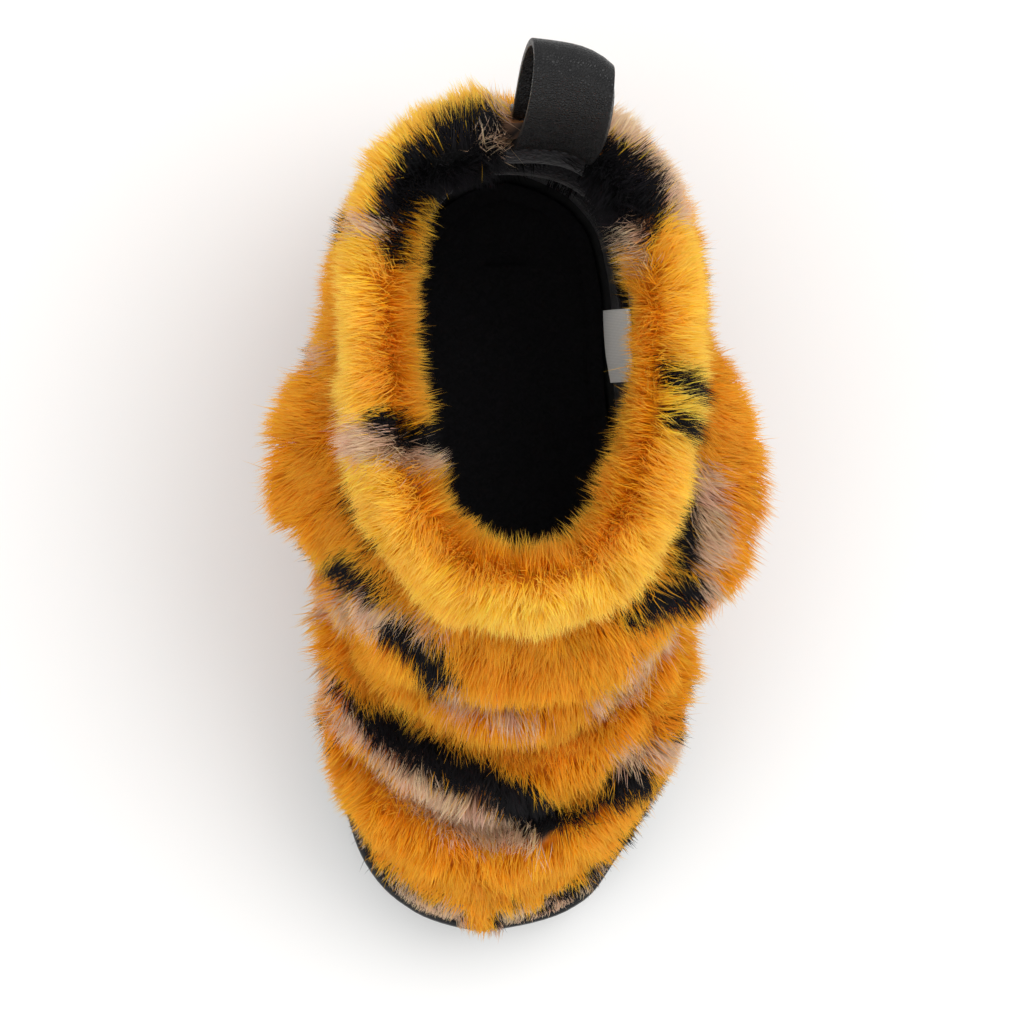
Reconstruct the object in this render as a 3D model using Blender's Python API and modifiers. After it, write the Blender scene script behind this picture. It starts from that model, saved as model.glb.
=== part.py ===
"""Child's slouch boot in faux fur, for the left foot, standing empty on its sole.

Metres, +Z up. The toe points along -Y, the heel along +Y and the outer side of the foot along +X.
The origin is on the floor under the middle of the heel.
"""

import math
import random

import bmesh
import bpy
from mathutils import Matrix, Vector
from mathutils.bvhtree import BVHTree

# Driving sizes of the last and the sole
SOLE_LENGTH = 0.184
HEEL_REACH = 0.027  # from the origin back to the sole's rear end
BALL_WIDTH = 0.077
SOLE_HEIGHT = 0.020  # under the heel
LUG_DEPTH = 0.0024
LUG_GAP = 0.0042
SIDE_GROOVE = 0.0012
SOLE_RIM = 0.0024  # the sole stands proud of the upper by about this much

# Driving sizes of the upper
SHAFT_HEIGHT = 0.138  # floor to the top of the collar's cloth
WALL = 0.0035  # fur backing, felt and lining together
NECK_HEIGHT = 0.113  # floor to the neck under the collar
FACING_ROWS = 1  # rows of RINGS over which the fur is turned in at the collar

# The pile
LOCK_LENGTH = 0.0080
LOW_LOCK = 0.35  # share of that length just above the sole
LOW_PILE = 0.022  # height above the sole over which the pile grows to its full length
COMB = (0, -0.8, -0.9)  # the way the pile lies on the outside
FACING_COMB = (0, 0, 0.5)  # and where it is turned in at the collar
LEAN = (0.45, 0.85)  # how far a lock leans that way, least and most, as a share of its length
COLLAR_LEAN = 0.15  # the same on the collar, where the pile stands out all round
FACING_LEAN = 0.25
STRAY = 0.3  # how far a lock strays to either side

# Driving sizes of the small pieces
GAP = 0.0003  # between pieces that touch
INSOLE_THICKNESS = 0.0040
INSOLE_PLAY = 0.0013  # between its edge and the wall, which leans inwards
STRAP_WIDTH = 0.017
STRAP_THICKNESS = 0.0018
STRAP_SEWN = 0.013  # length of strap on each side of the collar
STRAP_EDGE = 0.0012  # it leaves the wall this far under the collar's top
STRAP_RISE = 0.0265  # how far the loop stands above the collar
STRAP_PLACE = 0.0054  # the strap is sewn this far to the outer side of the heel's middle
STRAP_SWING = 0.0035  # and its top leans this much further
BARE_BESIDE_STRAP = 0.0050  # without locks
STRAP_TWIST = 0.15  # and is turned, its inner edge further back
LABEL_WIDTH = 0.016
LABEL_HEIGHT = 0.017
LABEL_THICKNESS = 0.0007
LABEL_PLACE = -0.021  # along Y, the label's middle
LABEL_DROP = 0.0185
LABEL_LEAN = 0.25  # the lower end hangs this much inwards, as a share of the height

# How finely the loft is cut
SEGMENTS = 48  # round the sole, the insole and the upper alike, so that their facets run together
RINGS_PER_ROW = 2

# Sole outline: share of the length from the toe, inner edge and outer edge as shares of the ball width
OUTLINE = (
    (0.000, -0.070, -0.070),
    (0.030, -0.295, 0.215),
    (0.090, -0.430, 0.345),
    (0.180, -0.492, 0.462),
    (0.290, -0.500, 0.500),
    (0.410, -0.468, 0.492),
    (0.550, -0.385, 0.445),
    (0.700, -0.362, 0.402),
    (0.840, -0.378, 0.384),
    (0.940, -0.290, 0.290),
    (1.000, 0.000, 0.000),
)

# Sole side view: share of the length from the toe, underside and top as shares of the heel's height
SIDE_VIEW = (
    (0.000, 0.340, 0.920),
    (0.150, 0.000, 0.760),
    (0.420, 0.000, 0.740),
    (0.570, 0.160, 0.840),
    (0.720, 0.000, 0.980),
    (0.965, 0.000, 1.000),
    (1.000, 0.090, 1.000),
)

# Sole edge from the floor up: share of the local height, and how far it is cut in
EDGE = (
    (0.00, 0.0022),
    (0.10, 0.0005),
    (0.20, 0.0),
    (0.46, 0.0),
    (0.50, SIDE_GROOVE),
    (0.58, SIDE_GROOVE),
    (0.62, 0.0),
    (0.92, 0.0),
    (1.00, 0.0007),
)

# Insole edge from its underside up: share of its thickness, and how far it is cut in
INSOLE_EDGE = (
    (0.00, 0.0006),
    (0.25, 0.0),
    (0.75, 0.0),
    (1.00, 0.0008),
)

# Grooves between the lugs: share of the length from the toe, turn in degrees
LUG_GROOVES = (
    (0.150, -10),
    (0.215, -8),
    (0.280, -5),
    (0.345, 0),
    (0.410, 5),
    (0.740, 6),
    (0.810, 0),
    (0.925, 0),
)

# Rings of the upper, from the sole to the top of the collar. front and back are shares of the sole's
# length from its rear end, front_z and back_z shares of the shaft's height, half a share of the ball
# width. widest says where along the ring it is widest. point_f and point_b are exponents, 0.5 for an
# oval end and more for a sharper one. foot says how much the ring follows the sole's own outline.
RING_COLUMNS = ("front", "front_z", "back", "back_z", "half", "widest", "point_f", "point_b", "foot")
RINGS = (
    (0.984, 0.130, 0.008, 0.150, 0.474, 0.45, 0.50, 0.45, 1.00),  # feather line
    (0.982, 0.190, 0.004, 0.225, 0.476, 0.45, 0.50, 0.45, 1.00),  # lower wall
    (0.952, 0.275, -0.004, 0.330, 0.480, 0.45, 0.48, 0.43, 0.90),  # toe wall
    (0.892, 0.358, -0.003, 0.400, 0.480, 0.46, 0.46, 0.42, 0.75),  # top of the toe roll
    (0.838, 0.350, 0.008, 0.440, 0.445, 0.48, 0.56, 0.42, 0.45),  # crease over the toes
    (0.800, 0.456, 0.000, 0.480, 0.525, 0.50, 0.52, 0.42, 0.15),  # instep roll
    (0.722, 0.464, 0.018, 0.525, 0.475, 0.48, 0.54, 0.41, 0.00),  # crease over the instep
    (0.705, 0.560, 0.000, 0.572, 0.530, 0.46, 0.48, 0.40, 0.00),  # roll under the ankle
    (0.618, 0.592, 0.026, 0.630, 0.450, 0.45, 0.44, 0.40, 0.00),  # crease at the ankle
    (0.652, 0.672, -0.004, 0.690, 0.535, 0.45, 0.37, 0.38, 0.00),  # ankle roll
    (0.612, 0.748, 0.000, 0.760, 0.500, 0.46, 0.38, 0.36, 0.00),  # top of the ankle roll
    (0.538, 0.812, 0.026, 0.842, 0.400, 0.48, 0.42, 0.34, 0.00),  # neck under the collar
    (0.574, 0.885, -0.008, 0.925, 0.446, 0.50, 0.43, 0.31, 0.00),  # collar
    (0.552, 0.950, 0.004, 1.000, 0.425, 0.50, 0.43, 0.31, 0.00),  # top of the collar
)
TOP_ROW = len(RINGS) - 1

# Soft dents and bulges: turn from the toe in degrees (outer side positive), row of RINGS, reach in
# degrees, reach in rows, and how far it stands out as a share of the ball width
BULGES = (
    (66, 9.1, 36, 1.0, 0.120),  # ankle roll, outer side
    (40, 9.0, 24, 0.9, 0.045),  # its front corner
    (-66, 9.2, 36, 1.0, 0.135),  # ankle roll, inner side
    (118, 8.0, 26, 0.8, -0.030),  # tucks behind the ankle, outer and inner side
    (-122, 8.3, 28, 0.9, -0.025),
    (-52, 6.9, 40, 0.9, 0.035),  # rolls of the instep, inner side
    (-56, 5.0, 36, 0.8, 0.035),
    (36, 4.1, 26, 0.8, -0.055),  # ends of the crease over the toes
    (-42, 4.0, 24, 0.7, -0.025),
    (26, 2.6, 20, 1.0, -0.020),  # flat of the toe, outer side
    (150, 6.4, 30, 0.7, 0.030),  # slouch at the heel
    (-155, 5.2, 34, 0.8, 0.028),
    (160, 4.0, 30, 0.7, -0.024),
    (-136, 12.6, 34, 1.3, 0.045),  # collar, inner side at the back
    (80, 12.4, 40, 1.2, -0.018),  # collar, outer side
    (104, 11.1, 26, 0.9, -0.035),  # neck behind the label
)

# Free part of the pull loop, from inside the collar over the top to outside it: how far back and how
# far up, as shares of the loop's rise, from where the strap leaves the lining
LOOP = (
    (0.01, 0.22),
    (0.13, 0.55),
    (0.32, 0.84),
    (0.54, 0.99),
    (0.71, 0.94),
    (0.73, 0.72),
    (0.61, 0.42),
    (0.38, 0.14),
)

# Finishes: colour, roughness, metallic value
FUR = ((0.86, 0.48, 0.06, 1.0), 0.9, 0.0)
RUBBER = ((0.02, 0.02, 0.022, 1.0), 0.55, 0.0)
FELT = ((0.012, 0.012, 0.014, 1.0), 0.95, 0.0)
LEATHER = ((0.02, 0.02, 0.024, 1.0), 0.42, 0.0)
TAPE = ((0.75, 0.76, 0.74, 1.0), 0.8, 0.0)


def mix(a, b, share):
    return a + (b - a) * share


def ease(x):
    x = min(max(x, 0.0), 1.0)
    return x * x * (3 - 2 * x)


def through(values, place):
    """A smooth curve through evenly spaced values, read at a place counted in values."""
    last = len(values) - 1
    i = min(int(max(place, 0.0)), last - 1)
    t = place - i
    a, b, c, d = (values[min(max(i + k, 0), last)] for k in (-1, 0, 1, 2))
    return 0.5 * (2 * b + (c - a) * t + (2 * a - 5 * b + 4 * c - d) * t**2 + (3 * b - a - 3 * c + d) * t**3)


def side_height(share, column):
    """Height of the sole's underside (column 1) or top (column 2), level at each row of the table."""
    for low, high in zip(SIDE_VIEW, SIDE_VIEW[1:]):
        if share <= high[0]:
            part = ease((share - low[0]) / (high[0] - low[0]))
            return SOLE_HEIGHT * mix(low[column], high[column], part)
    return SOLE_HEIGHT * SIDE_VIEW[-1][column]


def share_at(y):
    """Share of the sole's length from the toe, at a place along Y."""
    return min(max(1 - (HEEL_REACH - y) / SOLE_LENGTH, 0.0), 1.0)


def outline_x(turn):
    """Where the sole's edge lies across X, at a turn from the toe."""
    bend = math.acos(math.cos(turn))  # the turn, counted from the toe on either side
    column = 2 if math.sin(turn) >= 0 else 1
    bends = [math.acos(1 - 2 * row[0]) for row in OUTLINE]
    i = 0
    while i < len(OUTLINE) - 2 and bend > bends[i + 1]:
        i += 1
    place = i + (bend - bends[i]) / (bends[i + 1] - bends[i])
    return BALL_WIDTH * through([row[column] for row in OUTLINE], place)


def outline_point(turn, inset=0.0):
    """A point of the sole's outline in plan, moved inwards by inset."""

    def raw(a):
        return Vector((outline_x(a), HEEL_REACH - SOLE_LENGTH * (1 + math.cos(a)) / 2))

    step = 0.01
    along = (raw(turn + step) - raw(turn - step)).normalized()
    return raw(turn) + Vector((-along.y, along.x)) * inset


def new_object(name, mesh, finish):
    """An object in the collection of the boot, with a material of its own."""
    colour, roughness, metallic = finish
    material = bpy.data.materials.new(name)
    material.use_nodes = True
    shader = material.node_tree.nodes["Principled BSDF"]
    shader.inputs["Base Color"].default_value = colour
    shader.inputs["Roughness"].default_value = roughness
    shader.inputs["Metallic"].default_value = metallic
    material.diffuse_color = colour
    mesh.materials.append(material)
    obj = bpy.data.objects.new(name, mesh)
    bpy.data.collections["faux fur boot"].objects.link(obj)
    mesh.shade_smooth()
    mesh.set_sharp_from_angle(angle=math.radians(40))
    return obj


def loft(name, rings, caps=True):
    """A mesh through closed rings of equally many points; caps are strips across the end rings."""
    shape = bmesh.new()
    grid = [[shape.verts.new(p) for p in ring] for ring in rings]
    count = len(rings[0])
    for low, high in zip(grid, grid[1:]):
        for i in range(count):
            shape.faces.new((low[i], low[(i + 1) % count], high[(i + 1) % count], high[i]))
    if caps:
        for ring in (grid[0], grid[-1]):
            for i in range(count // 2):
                strip = [ring[i], ring[i + 1], ring[-i - 1], ring[-i] if i else ring[0]]
                shape.faces.new(list(dict.fromkeys(strip)))
    bmesh.ops.recalc_face_normals(shape, faces=shape.faces)
    mesh = bpy.data.meshes.new(name)
    shape.to_mesh(mesh)
    shape.free()
    return mesh


def ring_like_sole(inset, height):
    """A closed ring inside the sole's outline; height gives its Z at a share of the sole's length."""
    ring = []
    for i in range(SEGMENTS):
        p = outline_point(2 * math.pi * i / SEGMENTS, inset)
        ring.append(Vector((p.x, p.y, height(share_at(p.y)))))
    return ring


def make_outsole():
    """A moulded unit sole with toe spring, an arch, a groove round its side and lugs underneath."""
    rings = []
    for up, inset in EDGE:
        rings.append(ring_like_sole(inset, lambda s, up=up: mix(side_height(s, 1), side_height(s, 2), up)))
    sole = new_object("outsole", loft("outsole", rings), RUBBER)
    for number, (share, turn) in enumerate(LUG_GROOVES):
        cut_groove(sole, number, share, turn)
    return sole


def cut_groove(sole, number, share, turn):
    """One groove across the underside, as deep as the lugs stand out."""
    y = HEEL_REACH - SOLE_LENGTH * (1 - share)
    top = side_height(share, 1) + LUG_DEPTH
    reach = 2 * LUG_DEPTH
    bpy.ops.mesh.primitive_cube_add(size=1)
    cutter = bpy.context.object
    cutter.name = f"lug groove cutter {number}"
    cutter.data.transform(Matrix.Diagonal((2 * BALL_WIDTH, LUG_GAP, LUG_DEPTH + reach, 1)))
    cutter.rotation_euler.z = math.radians(turn)
    cutter.location = (0, y, top - (LUG_DEPTH + reach) / 2)
    bpy.context.collection.objects.unlink(cutter)
    bpy.data.collections["cutters"].objects.link(cutter)
    cutter.hide_render = True
    cutter.display_type = "WIRE"
    groove = sole.modifiers.new(f"groove {number}", "BOOLEAN")
    groove.operation = "DIFFERENCE"
    groove.object = cutter


def make_insole():
    """The footbed, lying on the sole inside the upper's lower edge."""
    side = SOLE_RIM + WALL + INSOLE_PLAY
    rings = []
    for up, inset in INSOLE_EDGE:
        rise = GAP + up * INSOLE_THICKNESS
        rings.append(ring_like_sole(side + inset, lambda s, rise=rise: side_height(s, 2) + rise))
    return new_object("insole", loft("insole", rings), FELT)


def ring_row(row):
    """The ring's own sizes at a place between the rows of the table."""
    columns = zip(*RINGS)
    return {name: through(list(values), row) for name, values in zip(RING_COLUMNS, columns)}


def bulge(turn, row):
    """How far the BULGES push the wall out at this place."""
    out = 0.0
    for degrees, at_row, wide, tall, amount in BULGES:
        away = math.degrees(math.acos(math.cos(turn - math.radians(degrees)))) / wide
        out += amount * math.exp(-(away**2) - ((row - at_row) / tall) ** 2)
    return out * BALL_WIDTH


def upper_point(turn, row):
    """The upper's cloth from outside: turn is the angle from the toe, row counts the rows of RINGS."""
    r = ring_row(row)
    along = (1 - math.cos(turn)) / 2
    if along < r["widest"]:
        off, point = 1 - along / r["widest"], r["point_f"]
    else:
        off, point = (along - r["widest"]) / (1 - r["widest"]), r["point_b"]
    oval = r["half"] * BALL_WIDTH * max(1 - off * off, 0.0) ** point
    oval = math.copysign(oval, math.sin(turn))
    like_sole = outline_x(turn) * r["half"] / 0.5
    x = mix(oval, like_sole, min(max(r["foot"], 0.0), 1.0))
    front = HEEL_REACH - SOLE_LENGTH * r["front"]
    back = HEEL_REACH - SOLE_LENGTH * r["back"]
    y = mix(front, back, along)
    z = SHAFT_HEIGHT * mix(r["front_z"], r["back_z"], along)
    on_sole = side_height(share_at(y), 2) + GAP
    feather = RINGS[0]
    planned = SHAFT_HEIGHT * mix(feather[1], feather[3], along)
    z += (on_sole - planned) * (1 - ease(row / 3))
    middle = Vector((0, mix(front, back, r["widest"])))
    out = (Vector((x, y)) - middle).normalized() * bulge(turn, row) * ease(row)
    return Vector((x + out.x, y + out.y, z))


def wall_shell():
    """The upper's wall as a closed shell, from an open loft thickened inwards."""
    count = TOP_ROW * RINGS_PER_ROW
    rings = []
    for k in range(count + 1):
        turns = [2 * math.pi * (i + k / 2) / SEGMENTS for i in range(SEGMENTS)]
        rings.append([upper_point(turn, k / RINGS_PER_ROW) for turn in turns])
    mesh = loft("upper", rings, caps=False)
    shell = new_object("upper", mesh, FUR)
    wall = shell.modifiers.new("wall", "SOLIDIFY")
    wall.thickness = WALL
    wall.offset = -1
    return shell


def applied(obj):
    """Replaces the object's mesh by what its modifiers make of it."""
    bpy.context.view_layer.update()
    graph = bpy.context.evaluated_depsgraph_get()
    mesh = bpy.data.meshes.new_from_object(obj.evaluated_get(graph))
    obj.modifiers.clear()
    obj.data = mesh
    return obj


def under_strap(place):
    """True where the pull loop lies on the collar, so that no lock grows there."""
    side = abs(place.x - STRAP_PLACE) < STRAP_WIDTH / 2 + BARE_BESIDE_STRAP
    return side and place.y > 0 and place.z > SHAFT_HEIGHT - 1.6 * STRAP_SEWN


def full_pile(place):
    """0 just above the sole, where the pile is short and stands out, to 1 where it has its full length."""
    above_sole = place.z - side_height(share_at(place.y), 2)
    return ease(above_sole / LOW_PILE)


def lock_lean(place, outside, seed):
    """How far a lock leans the way it is combed, as a share of its length."""
    if not outside:
        return FACING_LEAN
    above_neck = (place.z - NECK_HEIGHT) / (SHAFT_HEIGHT - NECK_HEIGHT)
    return full_pile(place) * mix(seed.uniform(*LEAN), COLLAR_LEAN, ease(1.6 * above_neck))


def grow_locks(shell):
    """Draws each face of the furred side out into a lock that leans the way the pile is combed."""
    seed = random.Random(5)
    shape = bmesh.new()
    shape.from_mesh(shell.data)
    outer = TOP_ROW * RINGS_PER_ROW * SEGMENTS
    facing = outer - FACING_ROWS * RINGS_PER_ROW * SEGMENTS
    furred = []
    for face in shape.faces:
        middle = face.calc_center_median()
        turned_in = face.index >= outer + facing and middle.z > SHAFT_HEIGHT / 2
        if (face.index < outer or turned_in) and not under_strap(middle):
            furred.append((face, face.index < outer))
    for face, outside in furred:
        normal = face.normal.copy()
        place = face.calc_center_median()
        length = LOCK_LENGTH * mix(LOW_LOCK, 1.0, full_pile(place)) * seed.uniform(0.75, 1.15)
        comb = Vector(COMB if outside else FACING_COMB)
        comb -= normal * comb.dot(normal)
        stray = normal.cross(comb) * seed.uniform(-STRAY, STRAY)
        tip = bmesh.ops.poke(shape, faces=[face])["verts"][0]
        tip.co = place + (normal + comb * lock_lean(place, outside, seed) + stray) * length
    shape.to_mesh(shell.data)
    shape.free()
    shell.data.shade_flat()


def make_upper():
    """Makes the upper, and returns its bare wall too, for the pieces that are sewn to it."""
    shell = applied(wall_shell())
    bare = BVHTree.FromObject(shell, bpy.context.evaluated_depsgraph_get())
    grow_locks(shell)
    return bare


def wall_y(shell, x, z, inside):
    """Where the collar's rear wall stands along Y, at a place across X and up Z, inside or outside."""
    start = Vector((x, 0 if inside else 2 * HEEL_REACH, z))
    hit = shell.ray_cast(start, Vector((0, 1 if inside else -1, 0)))
    return hit[0].y


def strap_path(shell, x):
    """The strap's middle line at a place across X: up inside the collar, over in a loop, down outside."""
    clear = STRAP_THICKNESS / 2 + 2 * GAP
    rim = upper_point(math.pi, TOP_ROW).z
    inner, outer = [], []
    for k in range(5):
        z = rim - mix(STRAP_SEWN, STRAP_EDGE, k / 4)
        inner.append(Vector((x, wall_y(shell, x, z, True) - clear, z)))
        outer.append(Vector((x, wall_y(shell, x, z, False) + clear, z)))
    free = []
    for back, up in LOOP:
        y = inner[-1].y + back * STRAP_RISE - STRAP_TWIST * up * (x - STRAP_PLACE)
        free.append(Vector((x + STRAP_SWING * up, y, rim + up * STRAP_RISE)))
    return inner + free + outer[::-1]


def sheet(name, lines, thickness, finish):
    """A thin sheet through lines of equally many points, thickened to both sides."""
    shape = bmesh.new()
    grid = [[shape.verts.new(p) for p in line] for line in lines]
    for left, right in zip(grid, grid[1:]):
        for k in range(len(left) - 1):
            shape.faces.new((left[k], right[k], right[k + 1], left[k + 1]))
    mesh = bpy.data.meshes.new(name)
    shape.to_mesh(mesh)
    shape.free()
    obj = new_object(name, mesh, finish)
    thick = obj.modifiers.new("thickness", "SOLIDIFY")
    thick.thickness = thickness
    thick.offset = 0
    return obj


def make_pull_loop(shell):
    """A leather strap bent over the collar at the heel and sewn down on both sides."""
    across, along = 5, 35
    lines = []
    for i in range(across):
        points = strap_path(shell, STRAP_PLACE + STRAP_WIDTH * (i / (across - 1) - 0.5))
        stops = [k * (len(points) - 1) / (along - 1) for k in range(along)]
        lines.append([through(points, stop) for stop in stops])
    return sheet("pull_loop", lines, STRAP_THICKNESS, LEATHER)


def make_label(shell):
    """A woven tape label sewn on where the lining is narrowest, its lower end hanging clear of the flare."""
    across, down = 7, 5
    drops = [LABEL_HEIGHT * k / (down - 1) for k in range(down)]
    lines = []
    for i in range(across):
        y = LABEL_PLACE + LABEL_WIDTH * (i / (across - 1) - 0.5)
        room = []
        for drop in drops:
            wall = shell.ray_cast(Vector((0, y, SHAFT_HEIGHT - LABEL_DROP - drop)), Vector((1, 0, 0)))[0]
            room.append(wall.x + LABEL_LEAN * drop)
        seam = min(room) - 2 * GAP - LABEL_THICKNESS / 2
        lines.append([Vector((seam - LABEL_LEAN * drop, y, SHAFT_HEIGHT - LABEL_DROP - drop)) for drop in drops])
    return sheet("label", lines, LABEL_THICKNESS, TAPE)


def main():
    for obj in list(bpy.data.objects):
        bpy.data.objects.remove(obj)
    for name in ("faux fur boot", "cutters"):
        bpy.context.scene.collection.children.link(bpy.data.collections.new(name))
    make_outsole()
    make_insole()
    wall = make_upper()
    make_pull_loop(wall)
    make_label(wall)


main()
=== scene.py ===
"""Looks of a child's slouch boot in faux fur, for the left foot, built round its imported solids.

Metres, +Z up. The toe points along -Y, the heel along +Y and the outer side of the foot along +X.
The origin is on the floor under the middle of the heel.
"""

import math

import bmesh
import bpy
import numpy as np
from bpy.props import FloatProperty, FloatVectorProperty, IntProperty, PointerProperty
from mathutils import Matrix, Vector
from mathutils.bvhtree import BVHTree


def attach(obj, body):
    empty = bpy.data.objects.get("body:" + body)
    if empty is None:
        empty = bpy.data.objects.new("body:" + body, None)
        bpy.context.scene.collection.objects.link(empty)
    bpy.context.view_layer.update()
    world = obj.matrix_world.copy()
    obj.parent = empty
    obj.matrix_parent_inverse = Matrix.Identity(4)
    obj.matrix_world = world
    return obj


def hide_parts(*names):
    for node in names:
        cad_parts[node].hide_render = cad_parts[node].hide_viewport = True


bl_info = {
    "name": "Faux fur boot",
    "version": (1, 0, 0),
    "blender": (4, 5, 0),
    "location": "View3D > Sidebar > Boot",
    "description": "Builds the pile, lining, sole, footbed, pull loop and label of a faux fur boot",
    "category": "Object",
}

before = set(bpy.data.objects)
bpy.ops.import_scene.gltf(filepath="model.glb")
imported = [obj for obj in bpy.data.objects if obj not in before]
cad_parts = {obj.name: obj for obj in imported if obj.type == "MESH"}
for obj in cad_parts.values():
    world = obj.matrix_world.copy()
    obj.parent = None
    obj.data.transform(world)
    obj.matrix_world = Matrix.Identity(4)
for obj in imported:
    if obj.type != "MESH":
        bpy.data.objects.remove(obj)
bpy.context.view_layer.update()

# Last and sole, as the solids have them
SOLE_LENGTH = 0.184
HEEL_REACH = 0.027
BALL_WIDTH = 0.077
SOLE_HEIGHT = 0.020
LUG_DEPTH = 0.0024
LUG_GAP = 0.0042
SIDE_GROOVE = 0.0012
SOLE_RIM = 0.0024
SHAFT_HEIGHT = 0.138
WALL = 0.0035
LOW_LOCK = 0.35
LOW_PILE = 0.022
GAP = 0.0003
INSOLE_THICKNESS = 0.0040
INSOLE_PLAY = 0.0013
STRAP_WIDTH = 0.017
STRAP_THICKNESS = 0.0018
STRAP_SEWN = 0.013
STRAP_EDGE = 0.0012
STRAP_RISE = 0.0265
STRAP_PLACE = 0.0054
STRAP_SWING = 0.0035
STRAP_TWIST = 0.15
LABEL_WIDTH = 0.016
LABEL_HEIGHT = 0.017
LABEL_THICKNESS = 0.0007
LABEL_PLACE = -0.021
LABEL_DROP = 0.0185  # its sewn edge is this far under the top of the collar
LABEL_LEAN = 0.25

# Sole outline: share of the length from the toe, inner edge and outer edge as shares of the ball width
OUTLINE = (
    (0.000, -0.070, -0.070),
    (0.030, -0.295, 0.215),
    (0.090, -0.430, 0.345),
    (0.180, -0.492, 0.462),
    (0.290, -0.500, 0.500),
    (0.410, -0.468, 0.492),
    (0.550, -0.385, 0.445),
    (0.700, -0.362, 0.402),
    (0.840, -0.378, 0.384),
    (0.940, -0.290, 0.290),
    (1.000, 0.000, 0.000),
)

# Sole side view: share of the length from the toe, underside and top as shares of the heel's height
SIDE_VIEW = (
    (0.000, 0.340, 0.920),
    (0.150, 0.000, 0.760),
    (0.420, 0.000, 0.740),
    (0.570, 0.160, 0.840),
    (0.720, 0.000, 0.980),
    (0.965, 0.000, 1.000),
    (1.000, 0.090, 1.000),
)

# Sole edge from the floor up: share of the local height, and how far it is cut in
EDGE = (
    (0.00, 0.0022),
    (0.04, 0.0011),
    (0.10, 0.0005),
    (0.20, 0.0),
    (0.45, 0.0),
    (0.47, 0.0003),
    (0.49, SIDE_GROOVE),
    (0.59, SIDE_GROOVE),
    (0.61, 0.0003),
    (0.63, 0.0),
    (0.90, 0.0),
    (0.96, 0.0003),
    (1.00, 0.0010),
)

# Footbed from its underside up: share of its thickness, and how far it is cut in from its edge
FOOTBED = (
    (0.00, 0.0006),
    (0.25, 0.0),
    (0.75, 0.0),
    (0.95, 0.0005),
    (1.00, 0.0014),
    (0.97, 0.0032),
    (0.84, 0.0042),
    (0.97, 0.0052),
    (0.98, 0.0100),
    (0.93, 0.0160),
)

# Grooves between the lugs: share of the length from the toe, turn in degrees
LUG_GROOVES = (
    (0.150, -10),
    (0.215, -8),
    (0.280, -5),
    (0.345, 0),
    (0.410, 5),
    (0.740, 6),
    (0.810, 0),
    (0.925, 0),
)

# Cuts in the sole: width, length and depth
LUG_CUT = (2 * BALL_WIDTH, LUG_GAP, LUG_DEPTH)
GRIP_CUT = (0.72 * BALL_WIDTH, 0.0008, 0.0012)
GRIP_APART = 0.0040  # a grip line lies this far to both sides of a groove's middle
CUT_BELOW = 2 * LUG_DEPTH  # how far the cutting boxes reach under the sole

# Rings of the upper, from the sole to the top of the collar, in the shares that the solids use
RING_COLUMNS = ("front", "front_z", "back", "back_z", "half", "widest", "point_f", "point_b", "foot")
RINGS = (
    (0.984, 0.130, 0.008, 0.150, 0.474, 0.45, 0.50, 0.45, 1.00),  # feather line
    (0.982, 0.190, 0.004, 0.225, 0.476, 0.45, 0.50, 0.45, 1.00),  # lower wall
    (0.952, 0.275, -0.004, 0.330, 0.480, 0.45, 0.48, 0.43, 0.90),  # toe wall
    (0.892, 0.358, -0.003, 0.400, 0.480, 0.46, 0.46, 0.42, 0.75),  # top of the toe roll
    (0.838, 0.350, 0.008, 0.440, 0.445, 0.48, 0.56, 0.42, 0.45),  # crease over the toes
    (0.800, 0.456, 0.000, 0.480, 0.525, 0.50, 0.52, 0.42, 0.15),  # instep roll
    (0.722, 0.464, 0.018, 0.525, 0.475, 0.48, 0.54, 0.41, 0.00),  # crease over the instep
    (0.705, 0.560, 0.000, 0.572, 0.530, 0.46, 0.48, 0.40, 0.00),  # roll under the ankle
    (0.618, 0.592, 0.026, 0.630, 0.450, 0.45, 0.44, 0.40, 0.00),  # crease at the ankle
    (0.652, 0.672, -0.004, 0.690, 0.535, 0.45, 0.37, 0.38, 0.00),  # ankle roll
    (0.612, 0.748, 0.000, 0.760, 0.500, 0.46, 0.38, 0.36, 0.00),  # top of the ankle roll
    (0.538, 0.812, 0.026, 0.842, 0.400, 0.48, 0.42, 0.34, 0.00),  # neck under the collar
    (0.574, 0.885, -0.008, 0.925, 0.446, 0.50, 0.43, 0.31, 0.00),  # collar
    (0.552, 0.950, 0.004, 1.000, 0.425, 0.50, 0.43, 0.31, 0.00),  # top of the collar
)
TOP_ROW = len(RINGS) - 1
FACING_ROW = TOP_ROW - 1.0  # the fur is turned in at the collar down to here

# Soft dents and bulges: turn from the toe in degrees (outer side positive), row of RINGS, reach in
# degrees, reach in rows, and how far it stands out as a share of the ball width
BULGES = (
    (66, 9.1, 36, 1.0, 0.120),
    (40, 9.0, 24, 0.9, 0.045),
    (-66, 9.2, 36, 1.0, 0.135),
    (118, 8.0, 26, 0.8, -0.030),
    (-122, 8.3, 28, 0.9, -0.025),
    (-52, 6.9, 40, 0.9, 0.035),
    (-56, 5.0, 36, 0.8, 0.035),
    (36, 4.1, 26, 0.8, -0.055),
    (-42, 4.0, 24, 0.7, -0.025),
    (26, 2.6, 20, 1.0, -0.020),
    (150, 6.4, 30, 0.7, 0.030),
    (-155, 5.2, 34, 0.8, 0.028),
    (160, 4.0, 30, 0.7, -0.024),
    (-136, 12.6, 34, 1.3, 0.045),
    (80, 12.4, 40, 1.2, -0.018),
    (104, 11.1, 26, 0.9, -0.035),
)

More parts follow.
